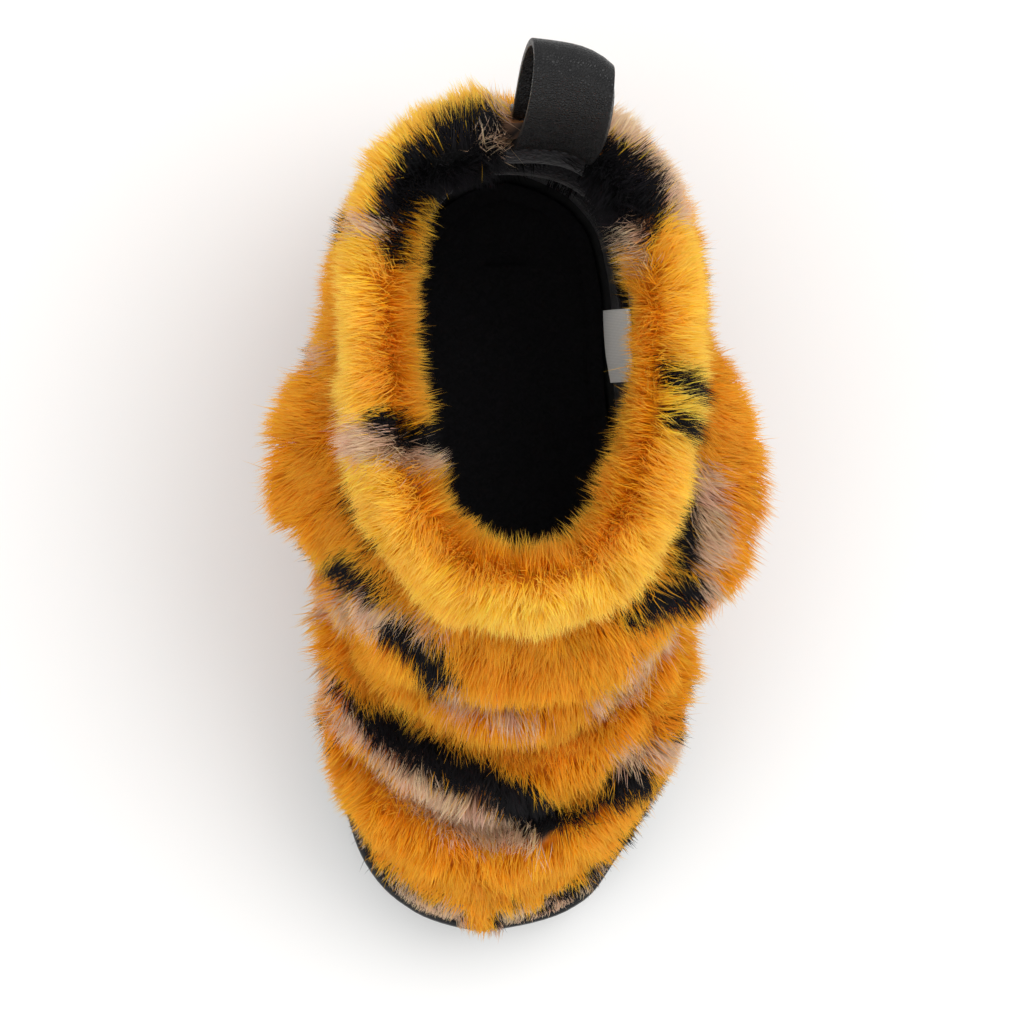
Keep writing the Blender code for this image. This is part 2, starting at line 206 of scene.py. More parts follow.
# Finer folds of the slouch, in the same columns: troughs are negative and ridges positive
FOLDS = (
    (-30, 7.9, 12, 0.35, -0.020),  # under the collar's front, inner side
    (-18, 6.1, 16, 0.40, -0.018),
    (-42, 5.4, 14, 0.40, 0.014),
    (30, 7.0, 13, 0.45, -0.016),  # fold that runs up to the outer bulge
    (48, 6.2, 12, 0.45, 0.014),
    (14, 5.2, 12, 0.40, -0.010),
    (-8, 3.2, 16, 0.50, 0.010),  # crown of the toe
    (54, 2.9, 14, 0.60, 0.012),
    (-72, 8.0, 16, 0.35, -0.022),  # tucks under the two bulges
    (74, 7.9, 16, 0.35, -0.022),
    (-96, 6.6, 14, 0.40, -0.018),
    (98, 6.2, 14, 0.40, -0.018),
    (-104, 9.6, 16, 0.50, -0.016),
    (112, 9.4, 16, 0.50, -0.018),
    (-120, 5.1, 18, 0.45, 0.014),
    (126, 4.6, 18, 0.45, 0.014),
    (170, 8.2, 20, 0.40, -0.018),
    (-166, 9.3, 18, 0.45, 0.014),
    (176, 5.6, 20, 0.40, -0.016),
    (140, 10.4, 18, 0.45, -0.014),
    (-60, 12.1, 20, 0.50, 0.012),  # lobes of the collar
    (-92, 12.4, 14, 0.60, -0.010),
    (34, 12.3, 18, 0.60, 0.010),
    (0, 12.2, 16, 0.60, -0.008),
    (-46, 8.8, 12, 0.90, -0.080),  # undercut of the two bulges ahead
    (38, 8.8, 13, 0.90, -0.090),
    (-50, 8.8, 10, 0.80, -0.060),
    (33, 8.5, 10, 0.80, -0.050),
    (-104, 9.0, 12, 0.80, -0.070),  # and behind
    (104, 9.0, 13, 0.90, -0.070),
    (106, 9.0, 10, 0.90, -0.060),
    (-60, 9.0, 10, 1.00, -0.060),
    (47, 9.0, 8, 1.00, -0.035),
    (-160, 12.6, 13, 0.90, -0.055),  # rear of the collar
    (150, 12.6, 18, 0.90, -0.030),
    (-50, 3.4, 20, 1.20, 0.060),  # full sides of the instep and toe
    (-46, 5.2, 18, 0.80, 0.075),
    (44, 5.2, 14, 0.80, 0.020),
    (0, 2.2, 46, 0.60, -0.022),  # toe wall under its roll
)

# Free part of the pull loop, from inside the collar over the top to outside it
LOOP = (
    (0.01, 0.22),
    (0.13, 0.55),
    (0.32, 0.84),
    (0.54, 0.99),
    (0.71, 0.94),
    (0.73, 0.72),
    (0.61, 0.42),
    (0.38, 0.14),
)

# Set of the pile. A fade is 0 up to its first number and 1 its second number further on
COMB = (0, -0.35, -0.9)  # the way the pile is combed: down, a little towards the toe
COMB_APART = 0.75  # and outwards
LEAN = (0.35, 1.05)  # how far a lock leans that way at its root and at its tip
COLLAR_LEAN = (0.30, 0.80)
COLLAR_FADE = (11.0, 1.4)  # in rows
TOE_LEAN = (0.6, 1.2)  # added over the toe
TOE_FADE = (3.6, -1.5)  # in rows
TOE_SIDES = (1.0, -0.5)  # in radians from the toe
FACING_RISE = (0.3, 0.55)  # how far the turned-in fur stands up, at the root and at the tip
FACING_DROP = -0.25  # and how far its tips hang where it faces outwards
FACING_OUT = (0.5, 1.0)
FACING_PART = (-0.75, 0.5)  # fade of the part at the rim's inner edge, by how far the fur faces outwards
STRAY = 0.15  # from lock to lock
DRIFT_STRAY = 0.42  # from patch to patch
ROOT_STRAY = 0.5  # of which the root takes this share
DRIFT_LENGTH = 0.10
LOCK_LENGTHS = (0.82, 1.14)
BESIDE_STRAP = 0.006  # how far from the strap the pile is still pushed aside
STRAP_PUSH = 0.9
ROOT_DEPTH = 0.0005  # how deep the roots sit in the backing
LOOSE = 0.18  # share of the hairs that stand loose of their lock
WILD = (0.11, 0.30)  # how far a held and a loose hair stray
LOOSE_LENGTH = 1.08
LOOSE_GATHER = 0.25
LOOSE_WIDTH = 0.7
HAIR_LENGTHS = (0.78, 1.1)
HAIR_WIDTHS = (0.75, 1.2)
LOCK_GATHERS = (0.45, 1.5)
HAIR_GATHERS = (0.7, 1.15)
MOST_GATHER = 0.92
MIDDLE_GATHER = 0.40  # how much of it a hair has at its middle
HAIR_TURN = 0.35  # spread in radians of the turn that a hair's face has from the outside
EDGE_STRAY = (0.0006, 0.0008)  # how far a marking's edge wanders, from lock to lock and hair to hair
EDGE_FEATHER = 0.9  # and further, in millimetres

# The short pile above the sole at the toe, and the gold tuft in it
BAND_ROW = 1.95
BAND_WAVE = 0.12
BAND_SIDES = (1.55, -0.8)
BAND_TURN = 1.4
BAND_LENGTH = 0.65
BAND_BLACK_AT = (-36, -27, -22, -10, -3, 4, 12, 30)  # millimetres across X
BAND_BLACK = (0.95, 0.9, 0.35, 0.2, 0.35, 0.3, 0.6, 0.9)  # and the share that is black there
TUFT_PLACE = -0.006
TUFT_LENGTH = 0.006
TOE_SHORT = 0.25  # how much shorter the pile is over the toe
TOE_SHORT_FADE = (3.4, -1.2)
TOE_SHORT_SIDES = (1.1, -0.5)

# Lengths at the collar and in the lining
FACING_LENGTHS = (0.62, 1.10)
BY_LABEL = 0.7  # both how near the label, in widths of it, and how much shorter
LINING_ROW = 6.0  # the plush that shows reaches down to here
LINING_LENGTH = 0.4
LINING_SHADE = 0.8

# Tones of the gold, as powers of the low tone: darker low down and paler at the collar, partly a deeper gold
# and partly painted shade and painted light; darker where the turned-in fur faces into the opening, painted
# shade; and how uneven the colours are
DEEP_AND_SHADED, COLLAR_PALER_AND_LIT = 0.8, 1.4
PALE_FADE = (10.6, 1.3)  # in rows
# painted shade where the turned-in fur faces into the opening, painted light where it faces out
FACING_PAINTED_SHADE, FACING_PAINTED_LIGHT = 1.1, -0.6
FACING_FADE = (0.3, -1.0)  # by how far the fur faces outwards
PATCH = 0.35
TONES = (-1.2, 1.5)
TONE_POWERS = (1.0, 1.0, 0.6)
BLACK_MIDDLE = 0.4
# roots on the rim of the collar painted nearly as light as the hair's middle: painted light on the top of the
# collar
RIM_PAINTED_LIGHT = 0.6
RIM_FADE = (TOP_ROW - 0.8, 0.6)
BRIGHTNESS = (0.07, 0.05)  # spread from lock to lock and from hair to hair
WARMTH = (0.05, 0.03)
BACKING_SHADE = 0.85
BACKING_REACH = 0.004  # the backing takes the marking this far out from it

# Slow waves that turn the pile in patches: radians for a millimetre each way, start, and the way each pushes
DRIFT = (
    ((0.23, 0.11, -0.17), 0.4, (0.5, 0.3, 0.2)),
    ((-0.12, 0.27, 0.09), 2.1, (-0.3, 0.5, 0.1)),
    ((0.08, -0.15, 0.31), 4.0, (0.2, -0.3, 0.4)),
    ((0.41, 0.33, 0.12), 1.2, (0.3, 0.2, -0.4)),
)
DRIFT_BEND = 1.7

# Stretches of the boot that the pile outside is parted in: rows, and radians from the toe
INSTEP_ROW = 4.2
ANKLE_ROW = 8.2
COLLAR_ROW = 11.2
AHEAD = 1.6

# Studio
LAMP_AIM = (0.0, -0.058, 0.07)
CAMERA_PLACE = (-0.056, -0.053)
CAMERA_AIM = (-0.0005, -0.0578, 0.075)
SENSOR = 36  # in millimetres

# Seams: stitches in length, width and height, and where they lie on each end of the strap
LOOP_STITCH = (0.0019, 0.0006, 0.00045)
LABEL_STITCH = (0.0010, 0.0004, 0.0003)
SEAM_EDGE = 0.105  # as a share of the strap's width
SEAM_ALONG = (0.0016, STRAP_SEWN - 0.001, 0.0024)  # from, to and step along the strap
SEAM_ACROSS = (0.0014, STRAP_SEWN - 0.0012)
LOOP_BEVEL = 0.00045
LABEL_BEVEL = 0.0001
LABEL_CURL = 0.0004

GOLD, BLACK, BEIGE = 0, 1, 2

# Views that the markings are charted in: the two axes, and the way the wall has to face
VIEWS = {
    "above": ((0, 1), None),
    "outer": ((1, 2), (1, 0, 0)),
    "inner": ((1, 2), (-1, 0, 0)),
    "heel": ((0, 2), (0, 1, 0)),
}

# How far the fur has to face a view to take its markings, and how those of the side views swell
SIDE_FACING = 0.25
UP_FACING = 0.12
COLLAR_FOOT = 108  # in millimetres; from here up the view from above marks all the fur
BRUSH_END = 0.55
BRUSH_SWELL = 0.75
SHARP_EDGE = 0.45  # how much less than the beige the other colours feather

# Markings of the fur, painted over each other in this order, for each view: colour, half width, lowest and
# highest place, and the line down the middle, all in millimetres
MARKINGS = {
    "above": (
        # collar
        (BEIGE, 3.8, 108, 160, ((17, 28), (24.5, 24.5), (30.5, 16.5), (34.5, 9.0))),
        (BLACK, 5.6, 100, 160, ((12, 20), (21.5, 15), (25, 10), (22, 4.5))),
        (BLACK, 4.6, 100, 160, ((8, 19), (15, 13), (18.5, 6))),
        (BEIGE, 1.8, 108, 160, ((22, 3), (24, -4))),
        (BLACK, 6.6, 100, 160, ((-4, 24), (-12, 23), (-19.5, 18), (-24.5, 12), (-27, 6), (-26, 2.5))),
        (BLACK, 4.0, 100, 160, ((-15, 14), (-10, 17), (-3, 19))),
        (GOLD, 1.9, 100, 160, ((-24.5, -1.5), (-23, 3), (-20.5, 8.5))),
        (BEIGE, 1.6, 108, 160, ((-5.8, 32), (-4.6, 27), (-1, 20))),
        (BEIGE, 0.8, 112, 160, ((-9.5, 23), (-4.5, 21.5))),
        (BEIGE, 1.7, 108, 160, ((-39, 5.2), (-31, 3.4))),
        (BEIGE, 4.2, 117, 160, ((-45, -40.8), (-30, -43.0), (-17.5, -44.6))),
        (BLACK, 2.4, 117, 160, ((-31.5, -38), (-26, -40), (-20.5, -41.8))),
        (BLACK, 1.9, 106, 160, ((29.5, -26.5), (34, -29), (39, -32))),
        (BLACK, 1.9, 106, 160, ((32.5, -37), (38, -40.5))),
        # outer bulge
        (BEIGE, 4.4, 40, 113, ((40, -51), (43, -58), (42.5, -66))),
        (BLACK, 2.8, 40, 112, ((36, -56), (36.5, -68))),
        (BLACK, 3.9, 30, 108, ((24, -79.5), (32, -77.3), (40, -75.6))),
        (BEIGE, 2.1, 30, 108, ((42.5, -72), (44.5, -82))),
        # inner bulge
        (BEIGE, 2.2, 40, 112, ((-51, -23.5), (-45, -22.5))),
        (BLACK, 2.2, 40, 110, ((-37, -53), (-32, -65))),
        (BLACK, 3.8, 30, 108, ((-38.5, -70.5), (-33, -75.5))),
        (BEIGE, 3.5, 30, 108, ((-43, -79.0), (-31.5, -81.5), (-19, -83.0))),
        # instep
        (BLACK, 2.7, 30, 108, ((-28, -84.5), (-22.2, -88.7), (-16.2, -97))),
        (BEIGE, 1.9, 30, 108, ((-15.5, -98.4), (-11.5, -102.3), (3.5, -106))),
        (BEIGE, 2.0, 30, 108, ((37, -86.5), (30.5, -90.5), (28, -95), (27, -99.5), (19.2, -102))),
        # toe
        (BEIGE, 3.8, 28, 75, ((-45.5, -96), (-39, -104.5), (-32, -110.5), (-24.2, -119),
                              (-15.3, -125), (-6, -129.8), (5, -134))),
        (BLACK, 1.6, 28, 80, ((-41, -98), (-32.6, -105.5))),
        (BLACK, 4.5, 28, 80, ((-30, -107), (-22, -112.4), (-9.2, -118.4), (0.5, -124.2), (8.4, -128.6))),
        (BLACK, 2.0, 28, 80, ((9, -130), (16, -128.2), (22.4, -125), (29, -122))),
        (BLACK, 3.9, 28, 80, ((25, -119.6), (30, -120.4))),
        (BEIGE, 3.0, 28, 80, ((26.5, -114.6), (41, -113.4))),
    ),
    "outer": (
        (BLACK, 3.2, 18, 84, ((-74, 74), (-66, 62), (-62, 50))),
        (BEIGE, 2.6, 18, 84, ((-68, 75), (-60, 64), (-56, 54))),
        (BLACK, 3.6, 18, 84, ((-30, 82), (-36, 68), (-34, 55))),
        (BEIGE, 2.8, 18, 84, ((-24, 80), (-29, 68), (-28, 58))),
        (BLACK, 2.6, 18, 70, ((-110, 46), (-100, 38), (-88, 34))),
        (BEIGE, 3.0, 18, 70, ((-50, 36), (-38, 32), (-26, 34))),
        (BLACK, 3.0, 18, 70, ((-46, 42), (-34, 40), (-20, 44))),
        (BLACK, 3.2, 18, 110, ((2, 96), (-4, 84), (0, 70))),
        (BEIGE, 2.4, 18, 110, ((8, 94), (3, 84), (6, 74))),
        (BLACK, 2.8, 18, 60, ((-4, 46), (6, 36), (16, 32))),
    ),
    "inner": (
        (BLACK, 3.4, 18, 84, ((-70, 70), (-60, 60), (-48, 56))),
        (BEIGE, 2.8, 18, 84, ((-72, 62), (-62, 53), (-50, 49))),
        (BLACK, 3.0, 18, 84, ((-22, 84), (-28, 70), (-24, 58))),
        (BEIGE, 2.6, 18, 84, ((-16, 82), (-21, 70), (-18, 60))),
        (BLACK, 2.8, 18, 56, ((-112, 44), (-100, 36), (-86, 38))),
        (BEIGE, 2.6, 18, 56, ((-108, 36), (-98, 29), (-86, 30))),
        (BLACK, 3.2, 18, 60, ((-56, 34), (-42, 30), (-28, 36))),
        (BLACK, 3.0, 18, 110, ((6, 100), (0, 88), (3, 76))),
        (BEIGE, 2.8, 18, 60, ((-8, 44), (4, 36), (16, 40))),
    ),
    "heel": (
        (BLACK, 3.4, 18, 110, ((-26, 66), (-12, 60), (4, 64))),
        (BEIGE, 3.0, 18, 110, ((-22, 58), (-10, 53), (4, 56))),
        (BLACK, 3.2, 18, 112, ((30, 92), (16, 84), (2, 88))),
        (BEIGE, 2.6, 18, 112, ((28, 84), (16, 77), (6, 80))),
        (BLACK, 3.0, 18, 60, ((24, 44), (12, 36), (-2, 38))),
        (BEIGE, 2.8, 18, 120, ((-28, 100), (-16, 96), (-6, 100))),
    ),
}


def linear(code):
    """Linear colour of an sRGB hex value."""
    values = [int(code[i : i + 2], 16) / 255 for i in (1, 3, 5)]
    return tuple(v / 12.92 if v <= 0.04045 else ((v + 0.055) / 1.055) ** 2.4 for v in values)


def colour(name, code, text):
    limits = {"min": 0, "max": 1}
    return FloatVectorProperty(name=name, description=text, subtype="COLOR", default=linear(code), **limits)


def metres(name, value, text):
    return FloatProperty(name=name, description=text, default=value, unit="LENGTH")


def amount(name, value, text, most=None):
    limits = {"max": most} if most else {}
    return FloatProperty(name=name, description=text, default=value, min=0, **limits)


def number(name, value, text):
    return IntProperty(name=name, description=text, default=value, min=1)


class BootPile(bpy.types.PropertyGroup):
    """The cut and set of the fur."""

    length: metres("Pile length", 0.0086, "Length of the hairs")
    width: metres("Hair width", 0.00023, "Width at the root, drawn coarse enough to show")
    locks: number("Locks", 12500, "Locks on the outside of the boot")
    facing_locks: number("Facing locks", 2600, "Locks on the fur turned in at the collar")
    lining_locks: number("Lining locks", 500, "Locks of plush on the part of the lining that shows")
    hairs: number("Hairs in a lock", 28, "Hairs that run together to one tip")
    lock_radius: metres("Lock radius", 0.0029, "How far a lock's roots spread")
    gather: amount("Gather", 0.22, "How far the tips of a lock draw together", 1)
    seed: number("Seed", 11, "Starting number for the scatter")


class BootColours(bpy.types.PropertyGroup):
    """The fur's colours from root to tip."""

    gold_root: colour("Gold root", "#DE8400", "Amber at the foot of the gold pile")
    gold_body: colour("Gold body", "#F8B924", "Middle of the gold pile")
    gold_tip: colour("Gold tip", "#FCD35C", "Bright tips of the gold pile")
    black_root: colour("Black root", "#0A0A0B", "Foot of the black pile")
    black_tip: colour("Black tip", "#2B2A2D", "Tips of the black pile")
    beige_root: colour("Beige root", "#9A7258", "Mauve brown at the foot of the beige pile")
    beige_body: colour("Beige body", "#D8B492", "Middle of the beige pile")
    beige_tip: colour("Beige tip", "#F3DBBE", "Pale tips of the beige pile")
    # multiplies the gold where it is painted deeper: partly a deeper gold, partly painted shade
    low_tone: colour("Low tone", "#F4DCA0", "What the gold is multiplied by where it is deeper")


class BootStage(bpy.types.PropertyGroup):
    """The studio."""

    height: metres("Camera height", 1.40, "Above the floor")
    across: metres("View width", 0.232, "Width that the camera takes in at the boot")
    key: amount("Key light", 4.6, "Power of the large soft lamp")
    fill: amount("Sky", 1.0, "Strength of the white surround")


def mix(a, b, share):
    return a + (b - a) * share


def ease(x):
    x = np.clip(x, 0.0, 1.0)
    return x * x * (3 - 2 * x)


def fade(x, start, reach):
    """0 up to the start and 1 a reach further on; with a negative reach it runs the other way."""
    return ease((x - start) / reach)


def unit(vectors):
    return vectors / np.maximum(np.linalg.norm(vectors, axis=-1, keepdims=True), 1e-12)


def dot(a, b):
    return np.sum(a * b, axis=-1, keepdims=True)


def outward(turns):
    """The way from the boot's middle line at each turn from the toe."""
    return np.stack([np.sin(turns), -np.cos(turns), np.zeros(len(turns))], axis=-1)


def from_toe(turns):
    """Radians from the toe to either side."""
    return np.abs((turns + math.pi) % (2 * math.pi) - math.pi)


def through(values, place):
    """A smooth curve through evenly spaced values, read at places counted in values."""
    values = np.asarray(values, float)
    last = len(values) - 1
    i = np.clip(np.floor(place).astype(int), 0, last - 1)
    t = place - i
    a, b, c, d = (values[np.clip(i + k, 0, last)] for k in (-1, 0, 1, 2))
    if values.ndim > 1:
        t = t[..., None]
    return 0.5 * (2 * b + (c - a) * t + (2 * a - 5 * b + 4 * c - d) * t**2 + (3 * b - a - 3 * c + d) * t**3)


def side_height(share, column):
    """Height of the sole's underside (column 1) or top (column 2), level at each row of the table."""
    table = np.array(SIDE_VIEW)
    i = np.clip(np.searchsorted(table[:, 0], share) - 1, 0, len(table) - 2)
    part = ease((share - table[i, 0]) / (table[i + 1, 0] - table[i, 0]))
    return SOLE_HEIGHT * mix(table[i, column], table[i + 1, column], part)


def share_at(y):
    """Share of the sole's length from the toe, at a place along Y."""
    return np.clip(1 - (HEEL_REACH - y) / SOLE_LENGTH, 0.0, 1.0)


def outline_x(turn):
    """Where the sole's edge lies across X, at a turn from the toe."""
    table = np.array(OUTLINE)
    bends = np.arccos(1 - 2 * table[:, 0])
    bend = np.arccos(np.clip(np.cos(turn), -1, 1))
    i = np.clip(np.searchsorted(bends, bend) - 1, 0, len(table) - 2)
    place = i + (bend - bends[i]) / (bends[i + 1] - bends[i])
    return BALL_WIDTH * np.where(np.sin(turn) >= 0, through(table[:, 2], place), through(table[:, 1], place))


def outline_points(turn, inset=0.0):
    """Points of the sole's outline in plan, moved inwards by inset."""

    def raw(a):
        return np.stack([outline_x(a), HEEL_REACH - SOLE_LENGTH * (1 + np.cos(a)) / 2], axis=-1)

    step = 0.01
    along = unit(raw(turn + step) - raw(turn - step))
    return raw(turn) + np.stack([-along[:, 1], along[:, 0]], axis=-1) * inset


def swell(turn, row, table):
    """How far a table of dents and bulges moves the wall out at these places."""
    out = 0.0
    for degrees, at_row, wide, tall, amount in table:
        away = np.degrees(np.arccos(np.clip(np.cos(turn - math.radians(degrees)), -1, 1))) / wide
        out = out + amount * np.exp(-(away**2) - ((row - at_row) / tall) ** 2)
    return out * BALL_WIDTH


def upper_points(turn, row):
    """The upper's cloth from outside: turn is the angle from the toe, row counts the rows of RINGS."""
    r = {name: through(values, row) for name, values in zip(RING_COLUMNS, zip(*RINGS))}
    along = (1 - np.cos(turn)) / 2
    ahead = along < r["widest"]
    off = np.where(ahead, 1 - along / r["widest"], (along - r["widest"]) / (1 - r["widest"]))
    point = np.where(ahead, r["point_f"], r["point_b"])
    oval = r["half"] * BALL_WIDTH * np.maximum(1 - off * off, 0.0) ** point
    oval = np.copysign(oval, np.sin(turn))
    x = mix(oval, outline_x(turn) * r["half"] / 0.5, np.clip(r["foot"], 0.0, 1.0))
    front = HEEL_REACH - SOLE_LENGTH * r["front"]
    back = HEEL_REACH - SOLE_LENGTH * r["back"]
    y = mix(front, back, along)
    z = SHAFT_HEIGHT * mix(r["front_z"], r["back_z"], along)
    planned = SHAFT_HEIGHT * mix(RINGS[0][1], RINGS[0][3], along)
    z = z + (side_height(share_at(y), 2) + GAP - planned) * (1 - ease(row / 3))
    out = unit(np.stack([x, y - mix(front, back, r["widest"])], axis=-1))
    out = out * ((swell(turn, row, BULGES) + swell(turn, row, FOLDS)) * ease(row))[..., None]
    return np.stack([x + out[..., 0], y + out[..., 1], z], axis=-1)


class Cloth:
    """A grid of places and outward normals over a stretch of the upper, for scattering the pile."""

    def __init__(self, places, normals, turns, rows):
        self.places, self.normals, self.turns, self.rows = places, normals, turns, rows
        a = places[1:, 1:] - places[:-1, :-1]
        b = places[1:, :-1] - places[:-1, 1:]
        self.area = np.linalg.norm(np.cross(a, b), axis=-1) / 2

    def scatter(self, random, count, weight=1.0):
        """Places, normals, turns and rows of count points, as many on each area as its weight says."""
        chance = np.cumsum((self.area * weight).ravel())
        cell = np.searchsorted(chance, random.random(count) * chance[-1])
        row, turn = np.divmod(np.minimum(cell, len(chance) - 1), self.area.shape[1])
        v, u = random.random(count), random.random(count)

        def read(grid):
            flat = grid.ndim == 2
            weights = [(1 - v) * (1 - u), (1 - v) * u, v * (1 - u), v * u]
            corners = [grid[row, turn], grid[row, turn + 1], grid[row + 1, turn], grid[row + 1, turn + 1]]
            return sum(c * (w if flat else w[:, None]) for c, w in zip(corners, weights))

        return read(self.places), unit(read(self.normals)), read(self.turns), read(self.rows)


def outer_cloth(first=0.0, last=float(TOP_ROW), around=480, per_row=12):
    """The furred outside of the upper between two rows."""
    up_rows = np.linspace(first, last, int((last - first) * per_row) + 1)
    turns, rows = np.meshgrid(np.linspace(0, 2 * math.pi, around + 1), up_rows)
    step = 1e-3
    across = upper_points(turns + step, rows) - upper_points(turns - step, rows)
    up = upper_points(turns, np.minimum(rows + step, TOP_ROW))
    up = up - upper_points(turns, np.maximum(rows - step, 0))
    return Cloth(upper_points(turns, rows), unit(np.cross(across, up)), turns, rows)


def facing_cloth():
    """The fur turned in at the collar: over the rim, then down the inside to FACING_ROW."""
    outside = outer_cloth(FACING_ROW, TOP_ROW, per_row=16)
    edge, out = outside.places[-1], outside.normals[-1]
    up = unit(np.array((0, 0, 1.0)) - out * out[:, 2:])
    places, normals = [], []
    for bend in np.linspace(0, math.pi, 9):
        places.append(edge - out * WALL / 2 * (1 - math.cos(bend)) + up * WALL / 2 * math.sin(bend))
        normals.append(out * math.cos(bend) + up * math.sin(bend))
    for place, normal in list(zip(outside.places, outside.normals))[-2::-1]:
        places.append(place - normal * WALL)
        normals.append(-normal)
    rows = np.concatenate([np.full(9, TOP_ROW), outside.rows[-2::-1, 0]])
    turns = np.broadcast_to(outside.turns[0], (len(places), outside.turns.shape[1]))
    return Cloth(np.array(places), np.array(normals), turns, np.repeat(rows[:, None], turns.shape[1], axis=1))


def marking(places, normals, stray=0.0):
    """GOLD, BLACK or BEIGE at each place; stray, in millimetres, feathers the edges from hair to hair."""
    mm = places * 1000
    found = np.full(len(mm), GOLD)
    for view, marks in MARKINGS.items():
        axes, facing = VIEWS[view]
        flat = mm[:, axes]
        if facing:
            turned = normals @ np.array(facing, float) > SIDE_FACING
        else:
            turned = (normals[:, 2] > UP_FACING) | (mm[:, 2] > COLLAR_FOOT)
        for paint, half, low, high, line in marks:
            near = np.full(len(mm), np.inf)
            legs = list(zip(np.array(line, float), np.array(line, float)[1:]))
            for k, (a, b) in enumerate(legs):
                share = np.clip((flat - a) @ (b - a) / ((b - a) @ (b - a)), 0, 1)
                gap = np.linalg.norm(flat - a - share[:, None] * (b - a), axis=1)
                if facing:
                    gap = gap / (BRUSH_END + BRUSH_SWELL * np.sin(math.pi * (k + share) / len(legs)))
                near = np.minimum(near, gap)
            feather = stray * (1.0 if paint == BEIGE else SHARP_EDGE)
            found[(near + feather < half) & (mm[:, 2] > low) & (mm[:, 2] < high) & turned] = paint
    return found


def add(tree, kind, output, settings=None, sockets=None):
    """Adds a node with its settings, and its sockets as links or values, and returns one of its outputs."""
    made = tree.nodes.new("ShaderNode" + kind)
    for name, value in (settings or {}).items():
        setattr(made, name, value)
    for name, value in (sockets or {}).items():
        if isinstance(value, bpy.types.NodeSocket):
            tree.links.new(value, made.inputs[name])
        else:
            made.inputs[name].default_value = value
    return made.outputs[output]


def rgba(code):
    return (*linear(code), 1.0)


def material(name, surface):
    """A material whose surface function is given its empty tree and returns the shader's socket."""
    made = bpy.data.materials.new(name)
    made.use_nodes = True
    tree = made.node_tree
    tree.nodes.clear()
    output = tree.nodes.new("ShaderNodeOutputMaterial")
    tree.links.new(surface(tree), output.inputs["Surface"])
    return made


def own_place(tree):
    return add(tree, "TexCoord", "Object")


def noise(tree, scale, detail, more=None):
    sockets = {"Vector": own_place(tree), "Scale": scale, "Detail": detail, **(more or {})}
    return add(tree, "TexNoise", "Fac", sockets=sockets)


def wave(tree, along, direction, scale):
    return add(tree, "TexWave", "Fac", {"bands_direction": direction}, {"Vector": along, "Scale": scale})


def remap(tree, value, limits, settings=None):
    return add(tree, "MapRange", 0, settings, {"Value": value, **limits})


def between(tree, share, low, high):
    return add(tree, "Mix", 2, {"data_type": "RGBA"}, {0: share, 6: rgba(low), 7: rgba(high)})


def principled(tree, base, roughness, more=None):
    sockets = {"Base Color": base, "Roughness": roughness, **(more or {})}
    return add(tree, "BsdfPrincipled", 0, sockets=sockets)


def bump(tree, height, strength, distance):
    """The normal that a height gives, as the shader's socket takes it."""
    sockets = {"Strength": strength, "Distance": distance, "Height": height}
    return {"Normal": add(tree, "Bump", 0, sockets=sockets)}


def hair_colour(tree):
    return add(tree, "Attribute", "Color", {"attribute_name": "pile_colour"})


def acrylic_pile(tree):
    """Acrylic faux fur fibre: soft sheen, light that glows through the thin tips, colour from each hair."""
    hair = hair_colour(tree)
    gloss = principled(tree, hair, 0.6, {"Specular IOR Level": 0.12})
    glow = add(tree, "BsdfTranslucent", 0, sockets={"Color": hair})
    return add(tree, "MixShader", 0, sockets={0: 0.45, 1: gloss, 2: glow})


def knit_backing(tree):
    """Knitted polyester backing under the pile: dull, in the pile's root colour, with a fine loop texture."""
    loops = add(tree, "TexVoronoi", "Distance", sockets={"Vector": own_place(tree), "Scale": 1100.0})
    return principled(tree, hair_colour(tree), 0.95, bump(tree, loops, 0.5, 0.0003))


def plush_lining(tree):
    """Short black plush: nearly lightless, with a faint sheen where the nap turns, and brushed unevenly."""
    shade = between(tree, noise(tree, 90.0, 2.0), "#1A1A1C", "#302F33")
    sheen = {"Specular IOR Level": 0.2, "Sheen Weight": 0.25, "Sheen Roughness": 0.5}
    return principled(tree, shade, 0.95, {**sheen, **bump(tree, noise(tree, 900.0, 3.0), 0.7, 0.0008)})


def moulded_rubber(tree):
    """Thermoplastic rubber, moulded: black, satin, a fine spark-eroded grain and greyer where it scuffs."""
    worn = remap(tree, noise(tree, 60.0, 5.0, {"Roughness": 0.7}), {"From Min": 0.55, "From Max": 0.8})
    shade = between(tree, worn, "#0D0D0F", "#1B1B1D")
    rough = remap(tree, worn, {"To Min": 0.48, "To Max": 0.66})
    grain = bump(tree, noise(tree, 1400.0, 2.0), 0.35, 0.0002)
    return principled(tree, shade, rough, {"Specular IOR Level": 0.35, **grain})


def needled_felt(tree):
    """Needled felt footbed: black, matt, with short crossing fibres."""
    fibres = noise(tree, 700.0, 6.0, {"Distortion": 1.5})
    shade = between(tree, fibres, "#1E1E20", "#38373B")
    return principled(tree, shade, 0.97, {"Specular IOR Level": 0.15, **bump(tree, fibres, 0.6, 0.0004)})


def smooth_calf_leather(tree):
    """Black calf leather, semi-gloss: a fine pebble of about 0.6 mm, with duller creases between them."""
    spot = own_place(tree)
    warp = add(tree, "TexNoise", "Color", sockets={"Vector": spot, "Scale": 250.0, "Detail": 3.0})
    bent = add(tree, "Mix", 1, {"data_type": "VECTOR"}, {0: 0.0006, 4: spot, 5: warp})
    edges = {"feature": "DISTANCE_TO_EDGE"}
    pebble = add(tree, "TexVoronoi", "Distance", edges, {"Vector": bent, "Scale": 1600.0})
    cushion = remap(tree, pebble, {"From Max": 0.28}, {"interpolation_type": "SMOOTHSTEP"})
    rough = remap(tree, cushion, {"To Min": 0.46, "To Max": 0.28})
    shade = between(tree, cushion, "#040405", "#0B0B0D")
    return principled(tree, shade, rough, {"Specular IOR Level": 0.38, **bump(tree, cushion, 0.8, 0.00025)})


